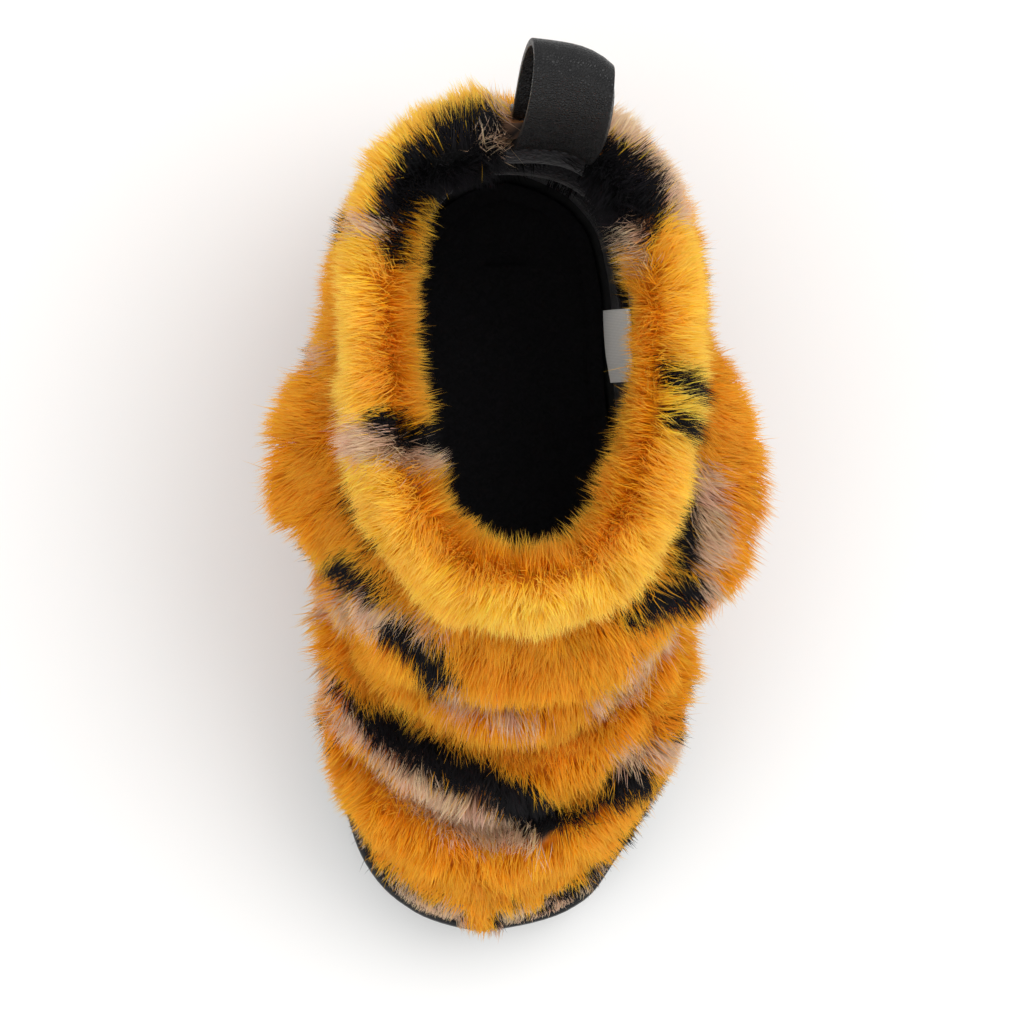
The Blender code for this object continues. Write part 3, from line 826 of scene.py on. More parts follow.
def waxed_thread(tree):
    """Waxed polyester thread: black, slightly shiny, twisted every 0.4 mm."""
    twist = wave(tree, own_place(tree), "DIAGONAL", 800.0)
    return principled(tree, rgba("#232326"), 0.45, bump(tree, twist, 0.6, 0.0001))


def woven_tape(tree):
    """Satin-woven polyester tape: off-white, ribs of 0.35 mm across it, a soft silky sheen."""
    strip = add(tree, "UVMap", 0, {"uv_map": "along_tape"})
    threads = {0: wave(tree, strip, "X", 15.0), 1: wave(tree, strip, "Y", 8.0)}
    weave = add(tree, "Math", 0, {"operation": "MULTIPLY"}, threads)
    shade = between(tree, weave, "#C9CAC6", "#F0F0EC")
    return principled(tree, shade, 0.6, {"Sheen Weight": 0.2, **bump(tree, weave, 0.5, 0.0001)})


def woven_thread(tree):
    """Polyester sewing thread: off-white with a slight shine."""
    return principled(tree, rgba("#DADAD4"), 0.5)


def studio_paper(tree):
    """Matt white paper sweep under the boot."""
    return principled(tree, rgba("#F6F6F5"), 0.9)


def deselect_all():
    if bpy.context.object and bpy.context.object.mode != "OBJECT":
        bpy.ops.object.mode_set(mode="OBJECT")
    bpy.ops.object.select_all(action="DESELECT")


def select_only(obj):
    deselect_all()
    obj.select_set(True)
    bpy.context.view_layer.objects.active = obj


def apply_modifiers(obj):
    select_only(obj)
    for modifier in list(obj.modifiers):
        bpy.ops.object.modifier_apply(modifier=modifier.name)


def smooth(obj, degrees):
    select_only(obj)
    bpy.ops.object.shade_smooth_by_angle(angle=math.radians(degrees))


def finish_piece(obj, name, slot, node, *materials):
    """Names a piece, gives it its materials, ties it to the body and hides the solid of the node it stands
    for. The slot is not used.
    """
    obj.name = obj.data.name = name
    obj.data.materials.clear()
    for one in materials:
        obj.data.materials.append(one)
    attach(obj, "root")
    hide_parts(node)


def finish_mesh(mesh, name, slot, node, finish):
    """Puts a mesh that was made without an operator into the scene as a piece."""
    obj = bpy.data.objects.new(name, mesh)
    bpy.context.scene.collection.objects.link(obj)
    finish_piece(obj, name, slot, node, finish)


def paint(mesh, colours):
    """Stores a linear colour for each vertex."""
    layer = mesh.color_attributes.new("pile_colour", "FLOAT_COLOR", "POINT")
    full = np.ones((len(mesh.vertices), 4), np.float32)
    full[:, :3] = colours
    layer.data.foreach_set("color", full.ravel())


def full_pile(places):
    """0 just above the sole, where the pile is short, to 1 where it has its full length."""
    above_sole = places[:, 2] - side_height(share_at(places[:, 1]), 2)
    return ease(above_sole / LOW_PILE)


def strap_away(places):
    """How near the strap each place is, from 1 beside it to 0 clear of it, with the sign of its side."""
    off = places[:, 0] - STRAP_PLACE
    beside = ease(1 - (np.abs(off) - STRAP_WIDTH / 2) / BESIDE_STRAP)
    return beside * (places[:, 1] > 0) * (places[:, 2] > SHAFT_HEIGHT - 1.6 * STRAP_SEWN) * np.sign(off)


def under_strap(places):
    side = np.abs(places[:, 0] - STRAP_PLACE) < STRAP_WIDTH / 2 + 0.0008
    return side & (places[:, 1] > 0) & (places[:, 2] > SHAFT_HEIGHT - 1.3 * STRAP_SEWN)


def set_on_outside(normals, turns, rows):
    """The way each lock leaves the outside of the boot and the way its tip lies."""
    comb = COMB_APART * outward(turns) + np.array(COMB)
    comb = comb - normals * dot(comb, normals)
    on_collar = fade(rows, *COLLAR_FADE)[:, None]
    on_toe = (fade(rows, *TOE_FADE) * fade(from_toe(turns), *TOE_SIDES))[:, None]
    leans = [mix(LEAN[k], COLLAR_LEAN[k], on_collar) + TOE_LEAN[k] * on_toe for k in (0, 1)]
    return [unit(normals + lean * comb) for lean in leans]


def set_on_facing(normals, turns):
    """The same for the fur that is turned in at the collar: it parts at the inner edge of the rim."""
    up, away = np.array((0, 0, 1.0)), outward(turns)
    outwards = fade(dot(normals, away), *FACING_PART)
    first = normals + FACING_RISE[0] * up + FACING_OUT[0] * outwards * away
    last = normals + mix(FACING_RISE[1], FACING_DROP, outwards) * up + FACING_OUT[1] * outwards * away
    return [unit(first), unit(last)]


def drift(places):
    """A slow, smooth wander of about one between -1 and 1 each way, which turns the pile in patches."""
    mm = places * 1000
    out = np.zeros(places.shape)
    for k, (turn, start, push) in enumerate(DRIFT):
        bend = DRIFT_BEND * np.sin(mm @ np.roll(turn, 1) * 0.7 + k)
        out += np.sin(mm @ np.array(turn) + start + bend)[:, None] * np.array(push)
    return out


class Pile:
    """Hairs grown in locks. Each array has a row for each hair."""

    def __init__(self, random, spots, ways, lengths, sizes):
        keep = ~under_strap(spots[0])
        places, normals, turns, rows, first, last, lengths = (a[keep] for a in (*spots, *ways, lengths))
        push = STRAP_PUSH * strap_away(places)[:, None] * np.array((1.0, 0, 0))
        stray = random.normal(0, STRAY, places.shape) + DRIFT_STRAY * drift(places)
        first, last = unit(first + ROOT_STRAY * stray + push), unit(last + stray + push)
        lengths = lengths * random.uniform(*LOCK_LENGTHS, len(places))
        lengths = lengths * (1 + DRIFT_LENGTH * drift(places * 0.7)[:, 0])
        axis = self.course(places, first, last, lengths)
        self.lock = lock = np.repeat(np.arange(len(places)), sizes.hairs)
        count = len(lock)
        n = normals[lock]
        across = unit(np.cross(n, first[lock] + np.array((0.31, 0.17, 0.05))))
        reach = sizes.lock_radius * np.sqrt(random.random((count, 1))) * 1.15
        angle = random.uniform(0, 2 * math.pi, (count, 1))
        roots = places[lock] + reach * (np.cos(angle) * across + np.sin(angle) * np.cross(n, across))
        loose = random.random(count) < LOOSE
        wild = random.normal(0, 1, (count, 3)) * np.where(loose, WILD[1], WILD[0])[:, None]
        own = lengths[lock] * random.uniform(*HAIR_LENGTHS, count) * np.where(loose, LOOSE_LENGTH, 1.0)
        course = self.course(roots, unit(first[lock] + wild * 0.6), unit(last[lock] + wild), own)
        gather = sizes.gather * random.uniform(*LOCK_GATHERS, len(places))[lock]
        gather = gather * np.where(loose, LOOSE_GATHER, 1.0) * random.uniform(*HAIR_GATHERS, count)
        pull = np.clip(np.array((0.0, MIDDLE_GATHER, 1.0)) * gather[:, None], 0, MOST_GATHER)[..., None]
        self.points = course + (axis[lock] - course) * pull
        self.normals, self.rows, self.turns = n, rows[lock], turns[lock]
        shift = random.normal(0, EDGE_STRAY[0], (len(places), 3))[lock]
        shift = shift + random.normal(0, EDGE_STRAY[1], (count, 3))
        self.seen = mix(self.points[:, 1], self.points[:, 2], 0.3) + shift
        self.random = random
        self.widths = sizes.width * random.uniform(*HAIR_WIDTHS, count) * np.where(loose, LOOSE_WIDTH, 1.0)

    @staticmethod
    def course(roots, first, last, lengths):
        """Root, middle and tip of each hair, which bends from the first way to the last."""
        step = (lengths / 2)[:, None]
        middle = roots + first * step
        return np.stack([roots - first * ROOT_DEPTH, middle, middle + last * step], axis=1)

    def marks(self):
        """The marking that each hair is seen in."""
        return marking(self.seen, self.normals, self.random.normal(0, EDGE_FEATHER, len(self.lock)))

    def uneven(self, spreads):
        """A factor for each hair, spread from lock to lock and from hair to hair."""
        locks = self.random.normal(0, spreads[0], self.lock.max() + 1)[self.lock]
        return np.exp(locks + self.random.normal(0, spreads[1], len(self.lock)))[:, None]

    def colours(self, colours, marks, deep_and_shade):
        """Root to tip colours of each hair: the gold toned down by the given depth, partly a deeper gold and
        partly painted shade and painted light; roots lightened on the rim as painted light; uneven from patch
        to patch.
        """
        c = {name: np.array(getattr(colours, name)) for name in colours.__annotations__}
        ramps = (
            (c["gold_root"], c["gold_body"], c["gold_tip"]),
            (c["black_root"], mix(c["black_root"], c["black_tip"], BLACK_MIDDLE), c["black_tip"]),
            (c["beige_root"], c["beige_body"], c["beige_tip"]),
        )
        patch = drift(self.points[:, 0] * 0.45)[:, 1]
        # painted shade and painted light on the gold, with a deeper gold low down, from the given depth and
        # slow patches
        tone = (marks == GOLD) * np.clip(deep_and_shade + PATCH * patch, *TONES)
        shade = np.array(ramps)[marks] * c["low_tone"] ** (tone[:, None] * np.array(TONE_POWERS))[:, :, None]
        # painted light: the roots on the rim of the collar lightened towards the middle colour
        shade[:, 0] = mix(shade[:, 0], shade[:, 1], RIM_PAINTED_LIGHT * fade(self.rows, *RIM_FADE)[:, None])
        shade = shade * self.uneven(BRIGHTNESS)[:, :, None]
        shade[:, :, 1] *= self.uneven(WARMTH)
        return np.clip(shade, 0.0, 1.0)

    def piece(self, name, keep, shades, fur):
        """One piece of narrow blades, pointed at both ends and bent at the middle, that face the outside."""
        points, normals, widths = self.points[keep], self.normals[keep], self.widths[keep]
        count = len(points)
        way = unit(points[:, 2] - points[:, 0])
        face = unit(normals - way * dot(normals, way) + 1e-6)
        turn = self.random.normal(0, HAIR_TURN, (count, 1))
        side = np.cross(way, face) * np.cos(turn) - face * np.sin(turn)
        half = side * widths[:, None] / 2
        corners = (points[:, 0], points[:, 1] - half, points[:, 1] + half, points[:, 2])
        verts = np.stack(corners, axis=1).astype(np.float32)
        loops = (np.arange(count)[:, None] * 4 + np.array((0, 2, 1, 1, 2, 3))).astype(np.int32)
        mesh = bpy.data.meshes.new(name)
        mesh.vertices.add(count * 4)
        mesh.loops.add(count * 6)
        mesh.polygons.add(count * 2)
        mesh.vertices.foreach_set("co", verts.ravel())
        mesh.loops.foreach_set("vertex_index", loops.ravel())
        mesh.polygons.foreach_set("loop_start", np.arange(count * 2, dtype=np.int32) * 3)
        mesh.update(calc_edges=True)
        mesh.shade_smooth()
        paint(mesh, shades[keep][:, (0, 1, 1, 2)].reshape(-1, 3))
        finish_mesh(mesh, name, "faux_fur", "upper", fur)


def toe_band(pile, marks):
    """The short mottled pile just above the sole at the toe: black and beige, with one gold tuft."""
    x = pile.seen[:, 0] * 1000
    turn = from_toe(pile.turns)
    band = pile.rows < (BAND_ROW + BAND_WAVE * np.sin(x * 0.7)) * fade(turn, *BAND_SIDES)
    black = np.interp(x, BAND_BLACK_AT, BAND_BLACK)
    lots = pile.random.random(pile.lock.max() + 1)[pile.lock]
    marks = np.where(band, np.where(lots < black, BLACK, BEIGE), marks)
    tuft = band & (np.abs(x - TUFT_PLACE * 1000) < 1.4 + 1.3 * pile.rows) & (turn < 1)
    return np.where(tuft, GOLD, marks)


def grow_outside(sizes, colours, fur):
    """The pile outside, in one piece for each stretch of the boot."""
    random = np.random.default_rng(sizes.seed)
    spots = places, normals, turns, rows = outer_cloth().scatter(random, sizes.locks)
    turn = from_toe(turns)
    lengths = sizes.length * mix(LOW_LOCK, 1.0, full_pile(places))
    lengths = lengths * (1 - TOE_SHORT * fade(rows, *TOE_SHORT_FADE) * fade(turn, *TOE_SHORT_SIDES))
    lengths = lengths * np.where((rows < BAND_ROW) & (turn < BAND_TURN), BAND_LENGTH, 1.0)
    tuft = (rows < BAND_ROW - 0.2) & (np.abs(places[:, 0] - TUFT_PLACE) < 0.003) & (turn < BAND_TURN)
    lengths = np.where(tuft, TUFT_LENGTH, lengths)
    pile = Pile(random, spots, set_on_outside(normals, turns, rows), lengths, sizes)
    marks = toe_band(pile, pile.marks())
    # the gold painted darker low down and paler at the collar: partly a deeper gold, partly painted shade and
    # painted light
    shades = pile.colours(colours, marks, DEEP_AND_SHADED - COLLAR_PALER_AND_LIT * fade(pile.rows, *PALE_FADE))
    ahead = from_toe(pile.turns) < AHEAD
    stretches = (
        ("fur_toe", ahead & (pile.rows < INSTEP_ROW)),
        ("fur_instep", ahead & (pile.rows >= INSTEP_ROW) & (pile.rows < ANKLE_ROW)),
        ("fur_heel", ~ahead & (pile.rows < ANKLE_ROW)),
        ("fur_ankle", (pile.rows >= ANKLE_ROW) & (pile.rows < COLLAR_ROW)),
        ("fur_collar", pile.rows >= COLLAR_ROW),
    )
    for name, keep in stretches:
        pile.piece(name, keep, shades, fur)


def grow_facing(sizes, colours, fur):
    """The pile over the rim of the collar and turned in under it."""
    random = np.random.default_rng(sizes.seed + 1)
    spots = places, normals, turns, rows = facing_cloth().scatter(random, sizes.facing_locks)
    lengths = sizes.length * random.uniform(*FACING_LENGTHS, len(places))
    beside = np.abs(places[:, 1] - LABEL_PLACE) < BY_LABEL * LABEL_WIDTH
    lengths = np.where((places[:, 0] > 0) & beside & (rows < TOP_ROW), BY_LABEL * lengths, lengths)
    pile = Pile(random, spots, set_on_facing(normals, turns), lengths, sizes)
    turned_in = fade(dot(pile.normals, outward(pile.turns))[:, 0], *FACING_FADE)
    # painted shade where the turned-in fur faces into the opening, painted light where it faces out
    shades = pile.colours(colours, pile.marks(), FACING_PAINTED_SHADE * turned_in + FACING_PAINTED_LIGHT)
    pile.piece("fur_facing", np.full(len(pile.lock), True), shades, fur)


def grow_lining(sizes, colours, fur):
    """Short black plush on the upper part of the lining, where it shows in the opening."""
    random = np.random.default_rng(sizes.seed + 2)
    places, normals, turns, rows = outer_cloth(LINING_ROW, FACING_ROW).scatter(random, sizes.lining_locks)
    spots = places - normals * WALL, -normals, turns, rows
    lengths = np.full(len(places), sizes.length * LINING_LENGTH)
    pile = Pile(random, spots, set_on_facing(-normals, turns), lengths, sizes)
    shades = pile.colours(colours, np.full(len(pile.lock), BLACK), 0.0) * LINING_SHADE
    pile.piece("lining_pile", np.full(len(pile.lock), True), shades, fur)


def shaped_grid(across, down, shape):
    """A grid added, and shaped by a function of where a vertex is across and up it, from 0 to 1."""
    deselect_all()
    bpy.ops.mesh.primitive_grid_add(x_subdivisions=across, y_subdivisions=down, size=2)
    obj = bpy.context.object
    corner = (np.array([v.co[:2] for v in obj.data.vertices]) + 1) / 2
    obj.data.vertices.foreach_set("co", shape(corner[:, 0], corner[:, 1]).astype(np.float32).ravel())
    obj.data.update()
    return obj


def sheet_from(places, thickness, bevel):
    """A sheet through rows of places, thickened to both sides and its edges rounded."""
    down, across = (n - 1 for n in places.shape[:2])

    def nearest(u, v):
        return places[np.rint(v * down).astype(int), np.rint(u * across).astype(int)]

    obj = shaped_grid(across, down, nearest)
    thick = obj.modifiers.new("thickness", "SOLIDIFY")
    thick.thickness = thickness
    thick.offset = 0
    edge = obj.modifiers.new("rounded edge", "BEVEL")
    edge.width = bevel
    edge.segments = 3
    edge.limit_method = "ANGLE"
    edge.angle_limit = math.radians(50)
    apply_modifiers(obj)
    smooth(obj, 40)
    return obj


def make_wall(colours, backing, plush):
    """The upper's wall: knitted backing outside, black plush inside, open at both ends as the solid is."""
    obj = shaped_grid(160, TOP_ROW * 5, lambda u, v: upper_points(u * 2 * math.pi, v * TOP_ROW))
    bpy.ops.object.mode_set(mode="EDIT")
    bpy.ops.mesh.select_all(action="SELECT")
    bpy.ops.mesh.remove_doubles(threshold=1e-5)
    bpy.ops.object.mode_set(mode="OBJECT")
    front = min(obj.data.polygons, key=lambda face: face.center.y)
    if front.normal.y > 0:
        obj.data.flip_normals()
    wall = obj.modifiers.new("wall", "SOLIDIFY")
    wall.thickness = WALL
    wall.offset = -1
    wall.material_offset = 1
    wall.material_offset_rim = 0
    finish_piece(obj, "fur_backing", "faux_fur", "upper", backing, plush)
    apply_modifiers(obj)
    smooth(obj, 60)
    read = np.empty((2, len(obj.data.vertices) * 3), np.float32)
    obj.data.vertices.foreach_get("co", read[0])
    obj.data.vertices.foreach_get("normal", read[1])
    places, normals = read.reshape(2, -1, 3)
    marks = marking(places + BACKING_REACH * normals, normals)
    roots = np.array([colours.gold_root, colours.black_root, colours.beige_root])
    paint(obj.data, roots[marks] * BACKING_SHADE)


def stack_rings(rings):
    """A circle added, shaped to the first ring, extruded and shaped ring by ring, and closed by strips."""
    count = len(rings[0])
    deselect_all()
    bpy.ops.mesh.primitive_circle_add(vertices=count, radius=1)
    obj = bpy.context.object
    for vertex, place in zip(obj.data.vertices, rings[0]):
        vertex.co = place
    bpy.ops.object.mode_set(mode="EDIT")
    bpy.ops.mesh.select_mode(type="VERT")
    bpy.ops.mesh.select_all(action="SELECT")
    shape = bmesh.from_edit_mesh(obj.data)
    shape.verts.ensure_lookup_table()
    number = {v.co.to_tuple(7): i for i, v in enumerate(shape.verts)}
    first = [v.index for v in shape.verts]
    for places in rings[1:]:
        bpy.ops.mesh.extrude_edges_indiv()
        shape = bmesh.from_edit_mesh(obj.data)
        moved = {}
        for v in shape.verts:
            if v.select:
                i = number[v.co.to_tuple(7)]
                v.co = places[i]
                moved[v.co.to_tuple(7)] = i
        number = moved
    shape.verts.ensure_lookup_table()
    last = sorted((v for v in shape.verts if v.select), key=lambda v: number[v.co.to_tuple(7)])
    for ring in ([shape.verts[i] for i in first], last):
        for i in range(count // 2):
            strip = [ring[i], ring[i + 1], ring[-i - 1], ring[-i] if i else ring[0]]
            shape.faces.new(list(dict.fromkeys(strip)))
    bmesh.update_edit_mesh(obj.data)
    bpy.ops.mesh.select_all(action="SELECT")
    bpy.ops.mesh.normals_make_consistent(inside=False)
    bpy.ops.object.mode_set(mode="OBJECT")
    return obj


def sole_ring(count, inset, height):
    """A closed ring inside the sole's outline; height gives its Z at shares of the sole's length."""
    plan = outline_points(np.arange(count) * 2 * math.pi / count, inset)
    return np.column_stack([plan, height(share_at(plan[:, 1]))])


def box_cutter(size, place, turn):
    deselect_all()
    bpy.ops.mesh.primitive_cube_add(size=1)
    cutter = bpy.context.object
    turned = Matrix.Rotation(turn, 4, "Z") @ Matrix.Diagonal((*size, 1))
    cutter.data.transform(Matrix.Translation(place) @ turned)
    return cutter


def cut(obj, cutters):
    """Cuts a set of boxes that don't meet each other out of a piece, and deletes them."""
    select_only(cutters[0])
    for one in cutters:
        one.select_set(True)
    bpy.ops.object.join()
    joined = bpy.context.object
    groove = obj.modifiers.new("grooves", "BOOLEAN")
    groove.operation = "DIFFERENCE"
    groove.solver = "EXACT"
    groove.object = joined
    apply_modifiers(obj)
    bpy.data.objects.remove(joined)


def make_sole(rubber):
    """The moulded unit sole: side groove, lugs and fine grip lines between them."""
    rings = []
    for up, inset in EDGE:
        rings.append(sole_ring(160, inset, lambda s, up=up: mix(side_height(s, 1), side_height(s, 2), up)))
    sole = stack_rings(rings)
    lugs, grips = [], []
    for share, turn in LUG_GROOVES:
        y = HEEL_REACH - SOLE_LENGTH * (1 - share)
        under = float(side_height(share, 1))
        for cutters, size, side in ((lugs, LUG_CUT, 0), (grips, GRIP_CUT, -1), (grips, GRIP_CUT, 1)):
            full = (size[0], size[1], size[2] + CUT_BELOW)
            place = (0, y + side * GRIP_APART, under + size[2] - full[2] / 2)
            cutters.append(box_cutter(full, place, math.radians(turn)))
    cut(sole, lugs)
    cut(sole, grips)
    smooth(sole, 30)
    finish_piece(sole, "sole", "sole_rubber", "outsole", rubber)


def make_footbed(felt):
    """The felt footbed with its rounded edge, sewn channel and a slight dish."""
    side = SOLE_RIM + WALL + INSOLE_PLAY
    rings = []
    for up, inset in FOOTBED:
        rise = GAP + up * INSOLE_THICKNESS
        rings.append(sole_ring(128, side + inset, lambda s, rise=rise: side_height(s, 2) + rise))
    footbed = stack_rings(rings)
    smooth(footbed, 40)
    finish_piece(footbed, "footbed", "insole_felt", "insole", felt)


def wall_seat(context):
    """The wall's faces, to seat what is sewn to it."""
    context.view_layer.update()
    return BVHTree.FromObject(bpy.data.objects["fur_backing"], context.evaluated_depsgraph_get())


def wall_y(wall, x, z, inside):
    """Where the collar's rear wall stands along Y, at a place across X and up Z, inside or outside."""
    start = Vector((x, 0 if inside else 2 * HEEL_REACH, z))
    return wall.ray_cast(start, Vector((0, 1 if inside else -1, 0)))[0].y


def strap_line(wall, x):
    """The strap's middle line at a place across X: up inside the collar, over in a loop, down outside."""
    clear = STRAP_THICKNESS / 2 + 2 * GAP
    rim = float(upper_points(np.array([math.pi]), np.array([float(TOP_ROW)]))[0, 2])
    inner, outer = [], []
    for k in range(5):
        z = rim - mix(STRAP_SEWN, STRAP_EDGE, k / 4)
        inner.append((x, wall_y(wall, x, z, True) - clear, z))
        outer.append((x, wall_y(wall, x, z, False) + clear, z))
    free = []
    for back, up in LOOP:
        y = inner[-1][1] + back * STRAP_RISE - STRAP_TWIST * up * (x - STRAP_PLACE)
        free.append((x + STRAP_SWING * up, y, rim + up * STRAP_RISE))
    return np.array(inner + free + outer[::-1])


def sew(name, slot, node, thread, places, ways, outs, size):
    """One piece of like stitches: a small long bead, copied to each place along its way."""
    deselect_all()
    bpy.ops.mesh.primitive_uv_sphere_add(segments=8, ring_count=6, radius=0.5)
    obj = bpy.context.object
    bead = np.array([v.co[:] for v in obj.data.vertices]) * np.array(size)
    faces = [list(face.vertices) for face in obj.data.polygons]
    bpy.data.objects.remove(obj)
    verts, polygons = [], []
    for place, way, out in zip(places, ways, outs):
        base = len(verts) * len(bead)
        verts.append(place + bead[:, :1] * way + bead[:, 1:2] * np.cross(out, way) + bead[:, 2:] * out)
        polygons += [[base + i for i in face] for face in faces]
    mesh = bpy.data.meshes.new(name)
    mesh.from_pydata(np.concatenate(verts).tolist(), [], polygons)
    mesh.shade_smooth()
    finish_mesh(mesh, name, slot, node, thread)


def make_loop(wall, leather, thread):
    """The leather pull loop and the stitches that hold its two ends."""
    across, along = 9, 105
    lines = [strap_line(wall, float(x)) for x in STRAP_PLACE + STRAP_WIDTH * np.linspace(-0.5, 0.5, across)]
    places = np.stack([through(line, np.linspace(0, 1, along) * (len(line) - 1)) for line in lines], axis=1)
    loop = sheet_from(places, STRAP_THICKNESS, LOOP_BEVEL)
    finish_piece(loop, "pull_loop_leather", "loop_leather", "pull_loop", leather)
    tangent, side = unit(np.gradient(places, axis=0)), unit(np.gradient(places, axis=1))
    out = np.cross(side, tangent)
    reach = np.linalg.norm(np.diff(places[:, across // 2], axis=0), axis=1).cumsum()
    rows = [(far, (SEAM_EDGE, 1 - SEAM_EDGE), tangent) for far in np.arange(*SEAM_ALONG)]
    rows += [(far, np.linspace(SEAM_EDGE + 0.07, 1 - SEAM_EDGE - 0.07, 6), side) for far in SEAM_ACROSS]
    spots, ways, outs = [], [], []
    for inside in (True, False):
        for far, shares, way in rows:
            k = int(np.searchsorted(reach, far if inside else reach[-1] - far))
            for share in shares:
                i = share * (across - 1)
                spots.append(mix(places[k, int(i)], places[k, int(i) + 1], i - int(i)))
                ways.append(way[k, int(i)])
                outs.append(out[k, int(i)])
    spots, ways, outs = np.array(spots), unit(np.array(ways)), unit(np.array(outs))
    inwards = np.where(spots[:, 1] < places[along // 2].mean(axis=0)[1], -1.0, 1.0)
    spots = spots + outs * (np.sign(outs[:, 1]) * inwards)[:, None] * (STRAP_THICKNESS / 2 + 0.00008)
    sew("pull_loop_stitches", "loop_leather", "pull_loop", thread, spots, ways, outs, LOOP_STITCH)


def make_label(wall, tape, thread):
    """The blank woven label, sewn along its upper edge, with a slight curl."""
    across, down = 25, 21
    drops = LABEL_HEIGHT * np.linspace(0, 1, down)
    top = SHAFT_HEIGHT - LABEL_DROP
    lines = []
    for share in np.linspace(-0.5, 0.5, across):
        y = LABEL_PLACE + LABEL_WIDTH * share
        rays = [wall.ray_cast(Vector((0, y, top - drop)), Vector((1, 0, 0)))[0] for drop in drops]
        room = min(spot.x + LABEL_LEAN * drop for spot, drop in zip(rays, drops))
        seam = room - 2 * GAP - LABEL_THICKNESS / 2
        curl = LABEL_CURL * (np.sin(drops / LABEL_HEIGHT * 5.0 + share * 3.0) - 1)
        lines.append(np.column_stack([seam - LABEL_LEAN * drops + curl, np.full(down, y), top - drops]))
    places = np.stack(lines, axis=1)
    label = sheet_from(places, LABEL_THICKNESS * 0.8, LABEL_BEVEL)
    label.data.uv_layers[0].name = "along_tape"
    finish_piece(label, "blank_label", "label_tape", "label", tape)
    seam, k = places[1], np.arange(1, across - 1, 2)
    outs = np.tile((-1.0, 0, 0), (len(k), 1))
    spots = seam[k] + outs * (LABEL_THICKNESS / 2 + 0.00005)
    ways = unit(seam[k + 1] - seam[k - 1])
    sew("label_stitches", "label_tape", "label", thread, spots, ways, outs, LABEL_STITCH)


def soft_lamp(name, place, size, power, target):
    lamp = bpy.data.lights.new(name, "AREA")
    lamp.shape = "DISK"
    lamp.size = size
    lamp.energy = power
    obj = bpy.data.objects.new(name, lamp)
    obj.location = place
    obj.rotation_euler = (Vector(target) - Vector(place)).to_track_quat("-Z", "Y").to_euler()
    bpy.context.scene.collection.objects.link(obj)


class BOOT_OT_stage(bpy.types.Operator):
    """Set the paper sweep, the soft lamps and the camera overhead"""

    bl_idname = "boot.stage"
    bl_label = "Stage"

    def execute(self, context):
        studio = context.scene.boot_stage
        deselect_all()
        bpy.ops.mesh.primitive_plane_add(size=6, location=(0, 0, -0.0002))
        floor = bpy.context.object
        floor.name = "paper_sweep"
        floor.data.transform(Matrix.Translation(floor.location))
        floor.location = (0, 0, 0)
        floor.data.materials.append(material("studio paper", studio_paper))
        world = bpy.data.worlds.new("white surround")
        world.use_nodes = True
        back = world.node_tree.nodes["Background"]
        back.inputs["Color"].default_value = (1, 1, 1, 1)
        back.inputs["Strength"].default_value = studio.fill
        context.scene.world = world
        soft_lamp("key lamp", (0.5, 0.3, 1.1), 0.9, studio.key, LAMP_AIM)
        soft_lamp("fill lamp", (-0.8, -0.5, 0.8), 0.8, studio.key * 0.3, LAMP_AIM)
        camera = bpy.data.cameras.new("overhead")
        holder = bpy.data.objects.new("overhead", camera)
        context.scene.collection.objects.link(holder)
        holder.location = (*CAMERA_PLACE, studio.height)
        aim = Vector(CAMERA_AIM)
        back = (holder.location - aim).normalized()
        right = Vector((0, 1, 0)).cross(back).normalized()
        holder.rotation_euler = Matrix((right, back.cross(right), back)).transposed().to_euler()
        camera.sensor_width = SENSOR
        camera.lens = SENSOR * (aim - holder.location).length / studio.across
        camera.clip_start, camera.clip_end = 0.05, 20
        context.scene.camera = holder
        context.scene.view_settings.view_transform = "Standard"
        return {"FINISHED"}


class BOOT_OT_sole(bpy.types.Operator):
    """Mould the rubber sole with its lugs"""

    bl_idname = "boot.sole"
    bl_label = "Sole"

    def execute(self, context):
        make_sole(material("moulded rubber", moulded_rubber))
        return {"FINISHED"}


class BOOT_OT_footbed(bpy.types.Operator):
    """Lay the felt footbed on the sole"""

    bl_idname = "boot.footbed"
    bl_label = "Footbed"

    def execute(self, context):
        make_footbed(material("needled felt", needled_felt))
        return {"FINISHED"}


class BOOT_OT_wall(bpy.types.Operator):
    """Build the upper's wall of backing and plush lining"""

    bl_idname = "boot.wall"
    bl_label = "Wall"

    def execute(self, context):
        backing, plush = material("knitted backing", knit_backing), material("black plush", plush_lining)
        make_wall(context.scene.boot_colours, backing, plush)
        return {"FINISHED"}


class BOOT_OT_loop(bpy.types.Operator):
    """Sew the leather pull loop to the wall"""

    bl_idname = "boot.loop"
    bl_label = "Pull loop"

    def execute(self, context):
        leather = material("calf leather", smooth_calf_leather)
        make_loop(wall_seat(context), leather, material("waxed thread", waxed_thread))
        return {"FINISHED"}


class BOOT_OT_label(bpy.types.Operator):
    """Sew the blank label to the lining"""

    bl_idname = "boot.label"
    bl_label = "Label"

    def execute(self, context):
        tape = material("woven tape", woven_tape)
        make_label(wall_seat(context), tape, material("white thread", woven_thread))
        return {"FINISHED"}


class BOOT_OT_outside(bpy.types.Operator):
    """Grow the pile outside"""

    bl_idname = "boot.outside"
    bl_label = "Pile outside"

    def execute(self, context):
        fur = material("acrylic pile", acrylic_pile)
        grow_outside(context.scene.boot_pile, context.scene.boot_colours, fur)
        return {"FINISHED"}


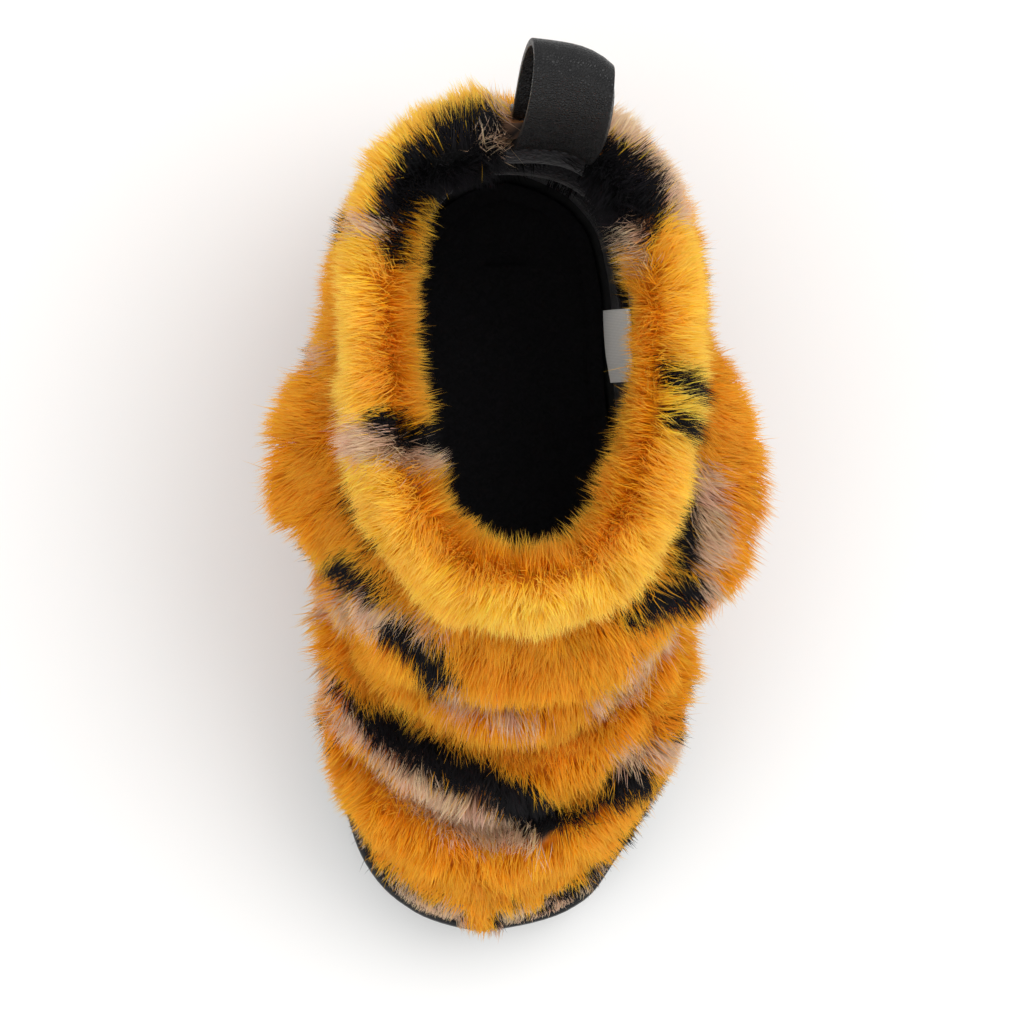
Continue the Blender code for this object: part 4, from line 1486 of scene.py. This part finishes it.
class BOOT_OT_facing(bpy.types.Operator):
    """Grow the pile over the rim of the collar"""

    bl_idname = "boot.facing"
    bl_label = "Pile at the collar"

    def execute(self, context):
        fur = material("acrylic pile at the collar", acrylic_pile)
        grow_facing(context.scene.boot_pile, context.scene.boot_colours, fur)
        return {"FINISHED"}


class BOOT_OT_lining(bpy.types.Operator):
    """Grow the short plush of the lining"""

    bl_idname = "boot.lining"
    bl_label = "Lining"

    def execute(self, context):
        fur = material("plush pile", acrylic_pile)
        grow_lining(context.scene.boot_pile, context.scene.boot_colours, fur)
        return {"FINISHED"}


class BOOT_PT_build(bpy.types.Panel):
    """Sizes, colours and the pieces in the order they are made"""

    bl_idname = "BOOT_PT_build"
    bl_label = "Faux fur boot"
    bl_space_type = "VIEW_3D"
    bl_region_type = "UI"
    bl_category = "Boot"

    def draw(self, context):
        for group in (context.scene.boot_pile, context.scene.boot_colours, context.scene.boot_stage):
            box = self.layout.box()
            for name in group.__annotations__:
                box.prop(group, name)
        for operator in OPERATORS:
            self.layout.operator(operator.bl_idname)


OPERATORS = (
    BOOT_OT_stage,
    BOOT_OT_sole,
    BOOT_OT_footbed,
    BOOT_OT_wall,
    BOOT_OT_loop,
    BOOT_OT_label,
    BOOT_OT_outside,
    BOOT_OT_facing,
    BOOT_OT_lining,
)
CLASSES = (BootPile, BootColours, BootStage, *OPERATORS, BOOT_PT_build)


def register():
    for one in CLASSES:
        bpy.utils.register_class(one)
    bpy.types.Scene.boot_pile = PointerProperty(type=BootPile)
    bpy.types.Scene.boot_colours = PointerProperty(type=BootColours)
    bpy.types.Scene.boot_stage = PointerProperty(type=BootStage)


def unregister():
    del bpy.types.Scene.boot_stage
    del bpy.types.Scene.boot_colours
    del bpy.types.Scene.boot_pile
    for one in reversed(CLASSES):
        bpy.utils.unregister_class(one)


def main():
    register()
    bpy.ops.boot.stage()
    bpy.ops.boot.sole()
    bpy.ops.boot.footbed()
    bpy.ops.boot.wall()
    bpy.ops.boot.loop()
    bpy.ops.boot.label()
    bpy.ops.boot.outside()
    bpy.ops.boot.facing()
    bpy.ops.boot.lining()


if __name__ == "__main__":
    main()
